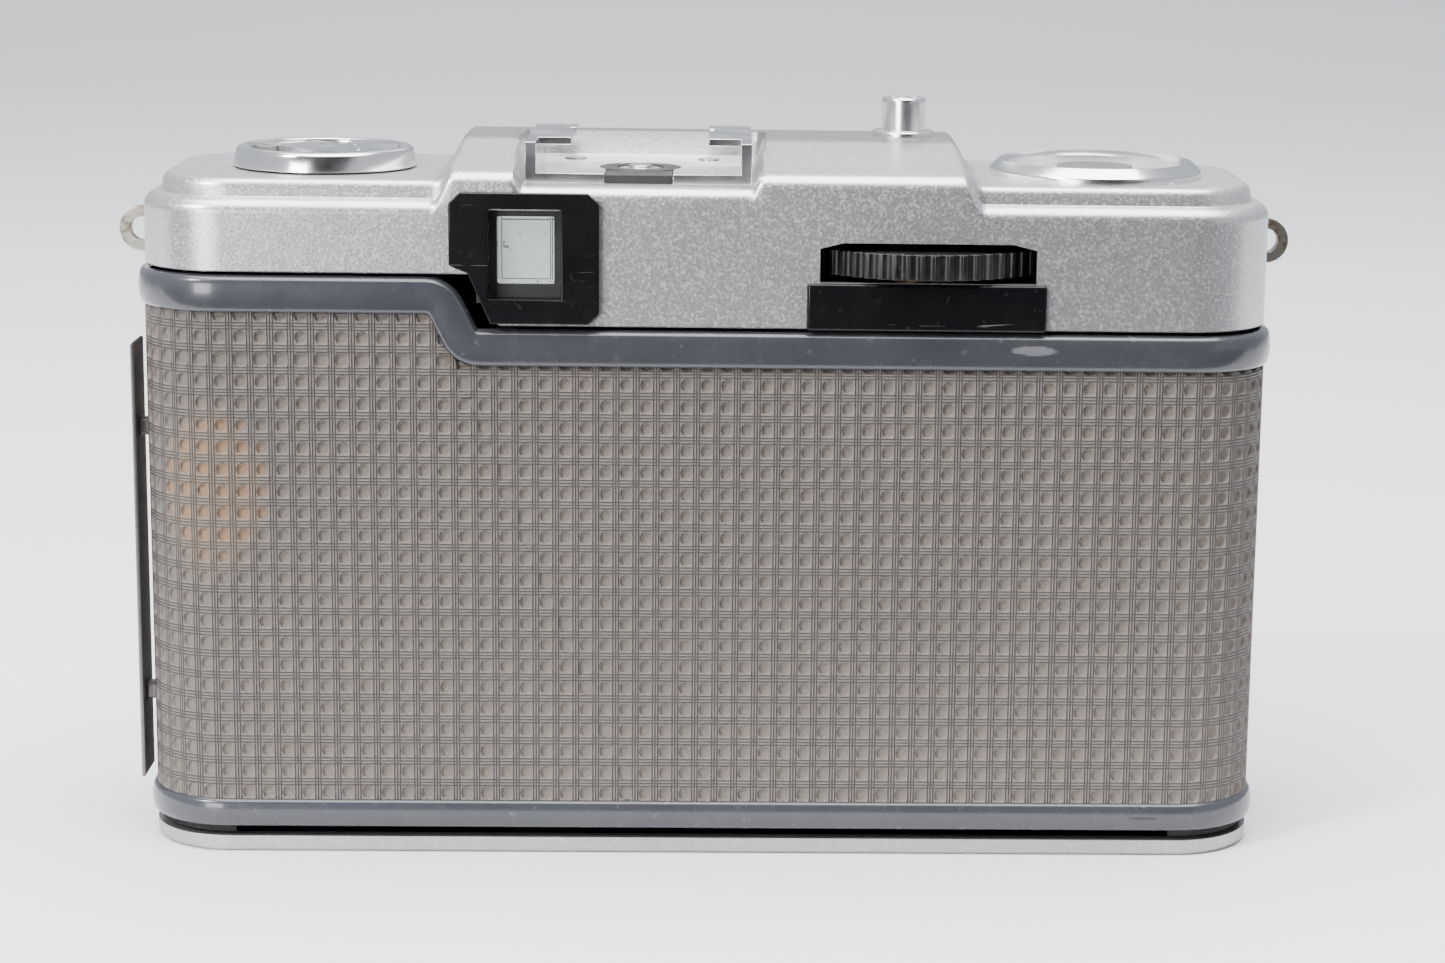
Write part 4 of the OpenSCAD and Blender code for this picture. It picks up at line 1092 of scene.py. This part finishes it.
class CAMERA_OT_door(bpy.types.Operator):
    """Makes the back door: leatherette, painted beads, inner skin and knuckles"""
    bl_idname = "halfframe.door"
    bl_label = "Back door"

    def execute(self, context):
        s = sizes()
        end = wall_end(DOOR_END_Y)
        field = Outline(LEATHER_STEP_Z, LEATHER_Z, s.step_x - s.step_run * 0.72, s.step_x)
        lip = Outline(DOOR_HIGH.z, DOOR_EDGE_Z, s.step_x - 0.4, s.step_x + s.step_run)

        sheet = pitted_pattern(-end, end, LEATHER_LOW_Z - 0.5, LEATHER_STEP_Z + 0.5)
        field.trim(sheet, 0.5)
        # the edge value is 1 at the leatherette's upper edge under the upper bead and fades over 0.55 mm; the
        # leatherette paints shade there
        lay_on_wall(sheet, -1, lambda u, z: max(0.0, 1 - abs(field.beyond(u, z)) / 0.55))
        round_pits(piece("door_leatherette_skin", sheet, "leatherette", node="door_leatherette",
            smooth=80, replace=("door_leatherette",)))

        skin = bmesh.new()
        bmesh.ops.create_grid(skin, x_segments=150, y_segments=4, size=0.5)
        bmesh.ops.scale(skin, vec=(2 * end, DOOR_HIGH.z - DOOR_LOW.z, 1), verts=skin.verts)
        bmesh.ops.translate(skin, vec=(0, (DOOR_HIGH.z + DOOR_LOW.z) / 2, 0), verts=skin.verts)
        lip.trim(skin, -0.3)
        for vert in skin.verts:
            vert.co = wrap(vert.co.x, vert.co.y, -0.5)
        bmesh.ops.solidify(skin, geom=skin.faces[:], thickness=0.6)
        bmesh.ops.recalc_face_normals(skin, faces=skin.faces)
        strip = bmesh.new()
        bmesh.ops.create_grid(strip, x_segments=120, y_segments=1, size=0.5)
        bmesh.ops.scale(strip, vec=(2 * end - 6, 2.2, 1), verts=strip.verts)
        bmesh.ops.translate(strip, vec=(0, span("hinge_ears")[1].z + 1.2, 0), verts=strip.verts)
        thickened(strip, strip.faces[:], (0, 0, 1))
        for vert in strip.verts:
            vert.co = wrap(vert.co.x, vert.co.y, -1.6 - 0.5 * vert.co.z, 1)
        bmesh.ops.recalc_face_normals(strip, faces=strip.faces)
        piece("cover_light_lip", strip, "black_matte", node="deck_plates")
        piece("door_skin", skin, "casting_black", node="back_door", replace=("back_door",))

        upper = rounded_path([(-end, (LEATHER_STEP_Z + DOOR_HIGH.z) / 2),
            (s.step_x - s.step_run * 0.45, (LEATHER_STEP_Z + DOOR_HIGH.z) / 2),
                              (s.step_x + s.step_run * 0.48, (LEATHER_Z + DOOR_EDGE_Z) / 2),
                                  (end, (LEATHER_Z + DOOR_EDGE_Z) / 2)], 2.2)
        lower = rounded_path([(-end, (DOOR_LOW.z + LEATHER_LOW_Z) / 2),
            (end, (DOOR_LOW.z + LEATHER_LOW_Z) / 2)], 1)
        piece("door_bead_upper", bead(upper, (DOOR_EDGE_Z - LEATHER_Z) / 2 + 0.06, s.bead_proud, -1),
            "slate_paint", node="back_door", smooth=60)
        piece("door_bead_lower", bead(lower, (LEATHER_LOW_Z - DOOR_LOW.z) / 2 + 0.04, s.bead_proud, -1),
            "slate_paint", node="back_door", smooth=60)

        hinge = next(j for j in frame["joints"] if j["name"] == "door_hinge")
        x, y = hinge["pos_m"][0] / MM, hinge["pos_m"][1] / MM
        ears = span("hinge_ears")
        for name, low in (("door_knuckle_low", ears[0].z + 6.7), ("door_knuckle_high", ears[1].z - 10.6)):
            knuckle = turned([(0.76, 0), (1.0, 0.05), (1.0, 5.55), (0.76, 5.6)], (x, y, low), steps=32)
            bevelled(piece(name, knuckle, "slate_paint", node="back_door"), 0.08)
            tab = bmesh.new()
            bmesh.ops.create_cube(tab, size=1)
            bmesh.ops.scale(tab, vec=(0.5, 1.9, 5.4), verts=tab.verts)
            bmesh.ops.translate(tab, vec=(x - 0.75, y - 0.85, low + 2.8), verts=tab.verts)
            bevelled(piece(name + "_tab", tab, "slate_paint", node="back_door"), 0.1)

        softened("pressure_plate", "black_matte", 0.3)
        plate = copy_of("latch_plate")
        outer_x = min(v.co.x for v in plate.verts)
        bmesh.ops.translate(plate, vec=(0.6, 0, 0),
            verts=[v for v in plate.verts if v.co.x < outer_x + 0.3])
        bevelled(piece("latch_plate_soft", plate, "side_plate", node="latch_plate",
            replace=("latch_plate",)), 0.2)
        softened("pressure_spring", "steel", 0.05)
        return {"FINISHED"}


class CAMERA_OT_front_skin(bpy.types.Operator):
    """Makes the front leatherette and its two painted beads"""
    bl_idname = "halfframe.front_skin"
    bl_label = "Front leatherette"

    def execute(self, context):
        s = sizes()
        low, high = span("front_leatherette")
        left = wall_end(low.y + 0.1, 1)
        hinge = next(j for j in frame["joints"] if j["name"] == "door_hinge")
        right = wall_end(hinge["pos_m"][1] / MM + 1.9, 1)
        sheet = pitted_pattern(-left, right, low.z - 0.4, high.z + 0.4)
        behind_lens = [f for f in sheet.faces if hypot(f.calc_center_median().x,
            f.calc_center_median().y - LENS.z) < 18]
        bmesh.ops.delete(sheet, geom=behind_lens, context="FACES")
        # the edge value marks the band under the upper front bead, where the leatherette paints shade
        lay_on_wall(sheet, 1, lambda u, z: max(0.0, 1 - (high.z - z) / 0.55))
        round_pits(piece("front_leatherette_skin", sheet, "leatherette", node="front_leatherette",
            smooth=80, replace=("front_leatherette",)))
        for name, bottom, top in (("front_bead_lower", DOOR_LOW.z, low.z),
                ("front_bead_upper", high.z, span("hinge_ears")[1].z + 0.3)):
            line = rounded_path([(-left, (bottom + top) / 2), (right, (bottom + top) / 2)], 1)
            piece(name, bead(line, (top - bottom) / 2 + 0.12, s.bead_proud, 1), "slate_paint",
                node="front_rims", smooth=60, replace=("front_rims",) if name.endswith("upper") else ())
        for node in ("body_front", "deck_plates", "film_chambers", "film_gate"):
            dressed(node, "casting_black")
        softened("hinge_ears", "slate_paint", 0.15)
        dressed("hinge_pins", "steel")
        dressed("light_seals", "foam")
        return {"FINISHED"}


class CAMERA_OT_covers(bpy.types.Operator):
    """Finishes the plated top cover, the base plate and what is let into them"""
    bl_idname = "halfframe.covers"
    bl_label = "Covers"

    def execute(self, context):
        cover = piece("top_cover_shell", CoverShape().build(), "cover_chrome", node="top_cover",
            smooth=42, replace=("top_cover",))
        # black matte on the cover's inner side: painted shade inside its openings
        cover.data.materials.append(finish("black_matte"))
        for node, look, width, segments in (
                ("base_plate", "shaded_base_chrome", 0.35, 3), ("tripod_bush", "steel", 0.25, 2),
                ("screws", "steel", 0.08, 2), ("strap_lugs", "lug_nickel", 0.4, 4),
                ("wheel_guard", "black_gloss", 0.45, 4), ("rewind_release", "steel", 0.2, 2)):
            softened(node, look, width, segments)
        x0, x1, z0, z1 = s_slot()
        for name, x, way in (("slot_corner_left", x0, 1), ("slot_corner_right", x1, -1)):
            corner = bmesh.new()
            points = [(x - way * 0.3, z1 + 0.3), (x + way * 2.2, z1 + 0.3), (x + way * 2.2, z1),
                (x, z1 - 0.55), (x - way * 0.3, z1 - 0.55)]
            face = corner.faces.new([corner.verts.new((px, BACK_Y + 0.72, pz)) for px, pz in points])
            thickened(corner, [face], (0, -0.7, 0))
            bmesh.ops.recalc_face_normals(corner, faces=corner.faces)
            piece(name, corner, "satin_chrome", node="top_cover")
        return {"FINISHED"}


class CAMERA_OT_finder(bpy.types.Operator):
    """Makes the eyepiece, the finder's glass and its front window"""
    bl_idname = "halfframe.finder"
    bl_label = "Finder"

    def execute(self, context):
        softened("eyepiece_frame", "black_gloss", 0.45, 4, angle=30)
        softened("eyepiece_lens", "clear", 0.2)
        dressed("finder_tube", "black_matte")
        softened("finder_window", "bright_chrome", 0.25, 3)
        softened("finder_objective", "coated_glass", 0.2)
        low, high = span("eyepiece_lens")
        view = bmesh.new()
        bmesh.ops.create_cube(view, size=1)
        bmesh.ops.scale(view, vec=(high.x - low.x - 0.1, 0.2, high.z - low.z - 0.1), verts=view.verts)
        bmesh.ops.translate(view, vec=((low.x + high.x) / 2, high.y + 0.25, (low.z + high.z) / 2),
            verts=view.verts)
        bevelled(piece("finder_view", view, "glowing_view", body="camera"), 0.05)
        line = bmesh.new()
        bmesh.ops.create_grid(line, x_segments=1, y_segments=1, size=0.5)
        bmesh.ops.rotate(line, cent=(0, 0, 0), matrix=Matrix.Rotation(pi / 2, 3, "X"), verts=line.verts)
        bmesh.ops.scale(line, vec=(high.x - low.x - 0.7, 1, high.z - low.z - 0.7), verts=line.verts)
        bmesh.ops.inset_individual(line, faces=line.faces[:], thickness=0.09)
        inner = min(line.faces, key=lambda f: -f.calc_area())
        bmesh.ops.delete(line, geom=[inner], context="FACES_ONLY")
        bmesh.ops.translate(line, vec=((low.x + high.x) / 2, high.y + 0.08, (low.z + high.z) / 2),
            verts=line.verts)
        bmesh.ops.solidify(line, geom=line.faces[:], thickness=0.05)
        piece("finder_frame_line", line, "black_matte", body="camera")
        return {"FINISHED"}


class CAMERA_OT_shoe(bpy.types.Operator):
    """Finishes the accessory shoe, its insulator and its contact"""
    bl_idname = "halfframe.shoe"
    bl_label = "Accessory shoe"

    def execute(self, context):
        softened("hot_shoe", "bright_chrome", 0.14, 2)
        softened("shoe_insulator", "black_matte", 0.1)
        softened("shoe_contact", "steel", 0.12)
        return {"FINISHED"}


class CAMERA_OT_rewind(bpy.types.Operator):
    """Makes the dished rewind knob and its folding crank"""
    bl_idname = "halfframe.rewind"
    bl_label = "Rewind knob"

    def execute(self, context):
        low, high = KNOB
        mid = KNOB_AXIS
        foot, rim, dish = (high.x - low.x) / 2, 8.05, 7.15
        top = high.z
        floor = top - 0.9
        wall = top - 1.82
        side = [(2.0, low.z), (2.0, wall), (foot, wall), (foot, wall + 0.25)] + \
            arc(foot - 0.25 - 0.55, top - 0.55, 0.55, 8, 88, 6) + [(rim - 0.35, top)] + \
            arc(dish + 0.22, top - 0.22, 0.22, 90, 180, 4) + [(dish, floor), (0, floor), (0, low.z)]
        piece("rewind_knob_turned", turned(side, (mid.x, mid.y, 0), steps=128), "bright_chrome",
            node="rewind_knob", smooth=40, replace=("rewind_knob",))
        screw = turned([(0, floor), (1.05, floor), (1.05, floor + 0.22), (0.85, floor + 0.32),
            (0, floor + 0.32)], (mid.x, mid.y, 0), steps=40)
        piece("rewind_screw", screw, "pale_screw", node="rewind_knob")
        softened("rewind_crank", "bright_chrome", 0.1, 2)
        plate = bmesh.new()
        reach, under = 7.0, top - 0.62
        rim_points = [(mid.x + reach * cos(radians(a)), mid.y + reach * sin(radians(a)), under)
                      for a in range(-52, 83, 5)]
        face = plate.faces.new([plate.verts.new(p) for p in rim_points])
        thickened(plate, [face], (0, 0, 0.56))
        bmesh.ops.recalc_face_normals(plate, faces=plate.faces)
        bevelled(piece("crank_plate", plate, "bright_chrome", node="rewind_crank"), 0.1, 2)
        softened("crank_grip", "bright_chrome", 0.12, 2)
        dressed("rewind_sleeve", "steel")
        dressed("rewind_fork_pin", "steel")
        return {"FINISHED"}


class CAMERA_OT_counter(bpy.types.Operator):
    """Makes the frame counter's bezel, window and dial"""
    bl_idname = "halfframe.counter"
    bl_label = "Frame counter"

    def execute(self, context):
        low, high = span("counter_bezel")
        outer = (high.x - low.x) / 2
        inner = (span("counter_window")[1].x - span("counter_window")[0].x) / 2 + 0.05
        rise = high.z - low.z
        ring = [(inner, 0), (outer, 0), (outer, 0.42)] + arc(outer - 0.3, 0.45, 0.3, 5, 60, 4) + \
               arc(inner + 0.75, rise - 0.3, 0.3, 60, 100, 4) + [(inner, rise - 0.45)]
        piece("counter_bezel_ring", turned(ring, (DIAL.x, DIAL.y, low.z)), "bright_chrome",
            node="counter_bezel", replace=("counter_bezel",))
        glass = span("counter_window")
        dome = [(0, 0.30), (inner - 0.06, 0.30), (inner - 0.06, 0.45), (inner - 0.5, 0.55), (0, 0.62)]
        piece("counter_window_glass", turned(dome, (DIAL.x, DIAL.y, glass[0].z)), "window_clear",
            node="counter_window", replace=("counter_window",))
        dressed("counter_dial", "dial_face")
        hub = bmesh.new()
        bmesh.ops.create_circle(hub, cap_ends=True, radius=3.66, segments=144)
        for i, vert in enumerate(hub.verts):
            reach = 1.0 if (i // 2) % 2 else 0.955
            vert.co = Vector((vert.co.x * reach, vert.co.y * reach, 0))
        thickened(hub, hub.faces[:], (0, 0, glass[0].z + 0.2 - span("counter_dial")[1].z))
        bmesh.ops.recalc_face_normals(hub, faces=hub.faces)
        bmesh.ops.translate(hub, vec=(DIAL.x, DIAL.y, span("counter_dial")[1].z + 0.01), verts=hub.verts)
        piece("counter_hub", hub, "black_matte", node="counter_dial")
        return {"FINISHED"}


class CAMERA_OT_release(bpy.types.Operator):
    """Makes the shutter button and its collar"""
    bl_idname = "halfframe.release"
    bl_label = "Shutter button"

    def execute(self, context):
        low, high = span("shutter_button")
        radius = 2.2
        tall = high.z - low.z
        profile = [(1.1, tall - 5), (0, tall - 5), (0, 0), (2.5, 0), (2.5, 0.6), (radius, 0.6)] + \
            [(radius, tall - 0.55)] + arc(radius - 0.35, tall - 0.35, 0.35, 0, 90,
                5) + [(1.45, tall - 0.05), (1.1, tall - 0.3)]
        piece("button_turned", turned(profile, (BUTTON.x, BUTTON.y, low.z), steps=64), "bright_chrome",
            node="shutter_button", replace=("shutter_button",))
        low, high = span("release_collar")
        outer = (high.x - low.x) / 2
        ring = [(radius + 0.06, 0), (outer, 0)] + arc(outer - 0.22, 0.28, 0.22, 0, 90,
            4) + [(radius + 0.2, 0.5), (radius + 0.06, 0.4)]
        piece("collar_turned", turned(ring, (BUTTON.x, BUTTON.y, low.z), steps=64), "bright_chrome",
            node="release_collar", replace=("release_collar",))
        dressed("release_rod", "steel")
        dressed("release_spring", "steel")
        return {"FINISHED"}


class CAMERA_OT_advance(bpy.types.Operator):
    """Finishes the advance wheel, its gears, the sprocket and the spool"""
    bl_idname = "halfframe.advance"
    bl_label = "Film advance"

    def execute(self, context):
        softened("thumbwheel", "thumb_black", 0.22, 3)
        dressed("wheel_gear", "brass")
        dressed("spool_gear", "brass")
        softened("sprocket_drum", "black_anodised", 0.12)
        softened("take_up_spool", "black_matte", 0.2)
        return {"FINISHED"}


class CAMERA_OT_lens(bpy.types.Operator):
    """Makes the lens: rings, glass and the ring of small light-gathering domes"""
    bl_idname = "halfframe.lens"
    bl_label = "Lens"

    def execute(self, context):
        for node, look, width, segments in (
                ("lens_base", "satin_chrome", 0.3, 3), ("lens_barrel", "anodised", 0.12, 2),
                ("aperture_ring", "anodised", 0.12, 2), ("focus_ring", "black_anodised", 0.12, 2),
                ("front_bezel", "black_anodised", 0.2, 3)):
            softened(node, look, width, segments)
        for node, look in (
                ("selenium_cell", "selenium"), ("shutter_plate", "black_matte"),
                ("shutter_blade_upper", "steel"), ("shutter_blade_lower", "steel"),
                ("meter_housing", "black_matte"), ("meter_needle", "red_paint")):
            dressed(node, look)
        for node, crown in (("front_element", 1.2), ("rear_element", 0.8)):
            low, high = span(node)
            radius, deep = (high.x - low.x) / 2, high.y - low.y
            curve = [(radius * sin(radians(a)), deep + crown * (cos(radians(a)) - 1))
                     for a in range(90, -1, -10)]
            glass = turned([(0, 0), (radius, 0)] + curve[:-1] + [(0, deep)], (LENS.x, low.y, LENS.z),
                axis="Y")
            piece(node + "_glass", glass, "coated_glass", node=node, smooth=60, replace=(node,))
        self.dome_ring()
        return {"FINISHED"}

    def dome_ring(self):
        low, high = span("cell_window")
        outer = (high.x - low.x) / 2
        inner = 14.6
        ring = [(inner, 0), (outer, 0), (outer, 1.2), (inner, 1.2)]
        bm = turned(ring, (LENS.x, low.y, LENS.z), axis="Y")
        pitch = 1.75
        rows = int(outer / pitch) + 2
        for j in range(-rows, rows + 1):
            for i in range(-rows, rows + 1):
                x, z = (i + 0.5 * (j % 2)) * pitch, j * pitch * 0.866
                if not inner + 0.85 < hypot(x, z) < outer - 0.7:
                    continue
                dome = bmesh.ops.create_uvsphere(bm, u_segments=12, v_segments=8, radius=0.86)["verts"]
                bmesh.ops.scale(bm, vec=(1, 0.55, 1), verts=dome)
                bmesh.ops.translate(bm, vec=(LENS.x + x, low.y + 1.15, LENS.z + z), verts=dome)
        piece("cell_window_domes", bm, "clear", node="cell_window", smooth=50, replace=("cell_window",))


FLOOR_EDGE = -0.066


def stand(name, bm, finish_name):
    """Makes a plain piece of the stage, in metres."""
    bmesh.ops.recalc_face_normals(bm, faces=bm.faces)
    mesh = bpy.data.meshes.new(name)
    bm.to_mesh(mesh)
    bm.free()
    obj = bpy.data.objects.new(name, mesh)
    bpy.context.scene.collection.objects.link(obj)
    mesh.materials.append(finish(finish_name))


class CAMERA_OT_stage(bpy.types.Operator):
    """Makes the floor, the lights and the camera"""
    bl_idname = "halfframe.stage"
    bl_label = "Stage"

    def execute(self, context):
        scene = context.scene
        floor = bmesh.new()
        bmesh.ops.create_grid(floor, x_segments=1, y_segments=1, size=2.0)
        bmesh.ops.translate(floor, vec=(0, 2.0 + FLOOR_EDGE, 0), verts=floor.verts)
        far = [e for e in floor.edges if all(v.co.y > 1 for v in e.verts)]
        rise = bmesh.ops.extrude_edge_only(floor, edges=far)["geom"]
        bmesh.ops.translate(floor, vec=(0, 1.0, 4.0), verts=[v for v in rise if isinstance(v,
            bmesh.types.BMVert)])
        stand("floor", floor, "studio_floor")
        dark = bmesh.new()
        bmesh.ops.create_grid(dark, x_segments=1, y_segments=1, size=2.0)
        bmesh.ops.translate(dark, vec=(0, FLOOR_EDGE - 2.0, -0.02), verts=dark.verts)
        near = [e for e in dark.edges if all(v.co.y < -1 for v in e.verts)]
        rise = bmesh.ops.extrude_edge_only(dark, edges=near)["geom"]
        bmesh.ops.translate(dark, vec=(0, 2.6, 1.6), verts=[v for v in rise if isinstance(v,
            bmesh.types.BMVert)])
        stand("dark_room", dark, "dark_room")

        world = bpy.data.worlds.new("studio")
        scene.world = world
        world.use_nodes = True
        sky = world.node_tree.nodes["Background"]
        sky.inputs["Color"].default_value = (0.86, 0.91, 0.98, 1)
        sky.inputs["Strength"].default_value = 0.80
        for name, place, size, power, tint in (
                ("top_box", (0.02, -0.06, 0.62), 0.62, 12.5, (1.0, 0.99, 0.98)),
                ("key_box", (-0.45, -0.40, 0.50), 0.14, 6.5, (1.0, 0.99, 0.98)),
                ("left_box", (-0.30, -0.52, 0.10), 0.22, 2.2, (0.97, 0.98, 1.0)),
                ("floor_box", (0.0, 1.5, 0.9), 1.0, 6.0, (0.97, 0.98, 1.0))):
            lamp = bpy.data.lights.new(name, "AREA")
            lamp.shape = "SQUARE"
            lamp.size = size
            lamp.energy = power
            lamp.color = tint
            holder = bpy.data.objects.new(name, lamp)
            holder.location = place
            aim = Vector((0, place[1] if place[1] > 1 else 0, 0.035))
            holder.rotation_euler = (Vector(place) - aim).to_track_quat("Z", "Y").to_euler()
            scene.collection.objects.link(holder)
        self.camera(scene)
        return {"FINISHED"}

    def camera(self, scene):
        turn, rise, roll = radians(-1.76), radians(11.5), radians(0.85)
        back = Vector((sin(turn) * cos(rise), -cos(turn) * cos(rise), sin(rise)))
        right = (-back).cross(Vector((0, 0, 1))).normalized()
        up = right.cross(-back)
        tilted = cos(roll) * right + sin(roll) * up
        level = -sin(roll) * right + cos(roll) * up
        view = bpy.data.cameras.new("camera")
        view.lens = 79.7
        view.sensor_width = 36.0
        view.shift_x = -0.0668
        view.clip_start = 0.01
        eye = bpy.data.objects.new("camera", view)
        eye.matrix_world = Matrix((
            (tilted.x, level.x, back.x, 0.001514),
            (tilted.y, level.y, back.y, -0.309323),
            (tilted.z, level.z, back.z, 0.096812),
            (0, 0, 0, 1)))
        scene.collection.objects.link(eye)
        scene.camera = eye


class CAMERA_PT_sidebar(bpy.types.Panel):
    """Lists the camera's operators in the sidebar"""
    bl_label = "Half-frame camera"
    bl_idname = "CAMERA_PT_sidebar"
    bl_space_type = "VIEW_3D"
    bl_region_type = "UI"
    bl_category = "Camera"

    def draw(self, context):
        for kind in OPERATORS:
            self.layout.operator(kind.bl_idname)


OPERATORS = (
    CAMERA_OT_finishes, CAMERA_OT_door, CAMERA_OT_front_skin, CAMERA_OT_covers, CAMERA_OT_finder,
    CAMERA_OT_shoe, CAMERA_OT_rewind, CAMERA_OT_counter, CAMERA_OT_release, CAMERA_OT_advance,
    CAMERA_OT_lens, CAMERA_OT_stage,
)
CLASSES = (SkinSizes, FinishColours, *OPERATORS, CAMERA_PT_sidebar)


def register():
    for kind in CLASSES:
        bpy.utils.register_class(kind)
    bpy.types.Scene.camera_skin = PointerProperty(type=SkinSizes)
    bpy.types.Scene.camera_colours = PointerProperty(type=FinishColours)


def unregister():
    del bpy.types.Scene.camera_colours
    del bpy.types.Scene.camera_skin
    for kind in reversed(CLASSES):
        bpy.utils.unregister_class(kind)


def main():
    register()
    for kind in OPERATORS:
        group, name = kind.bl_idname.split(".")
        getattr(getattr(bpy.ops, group), name)()


if __name__ == "__main__":
    main()
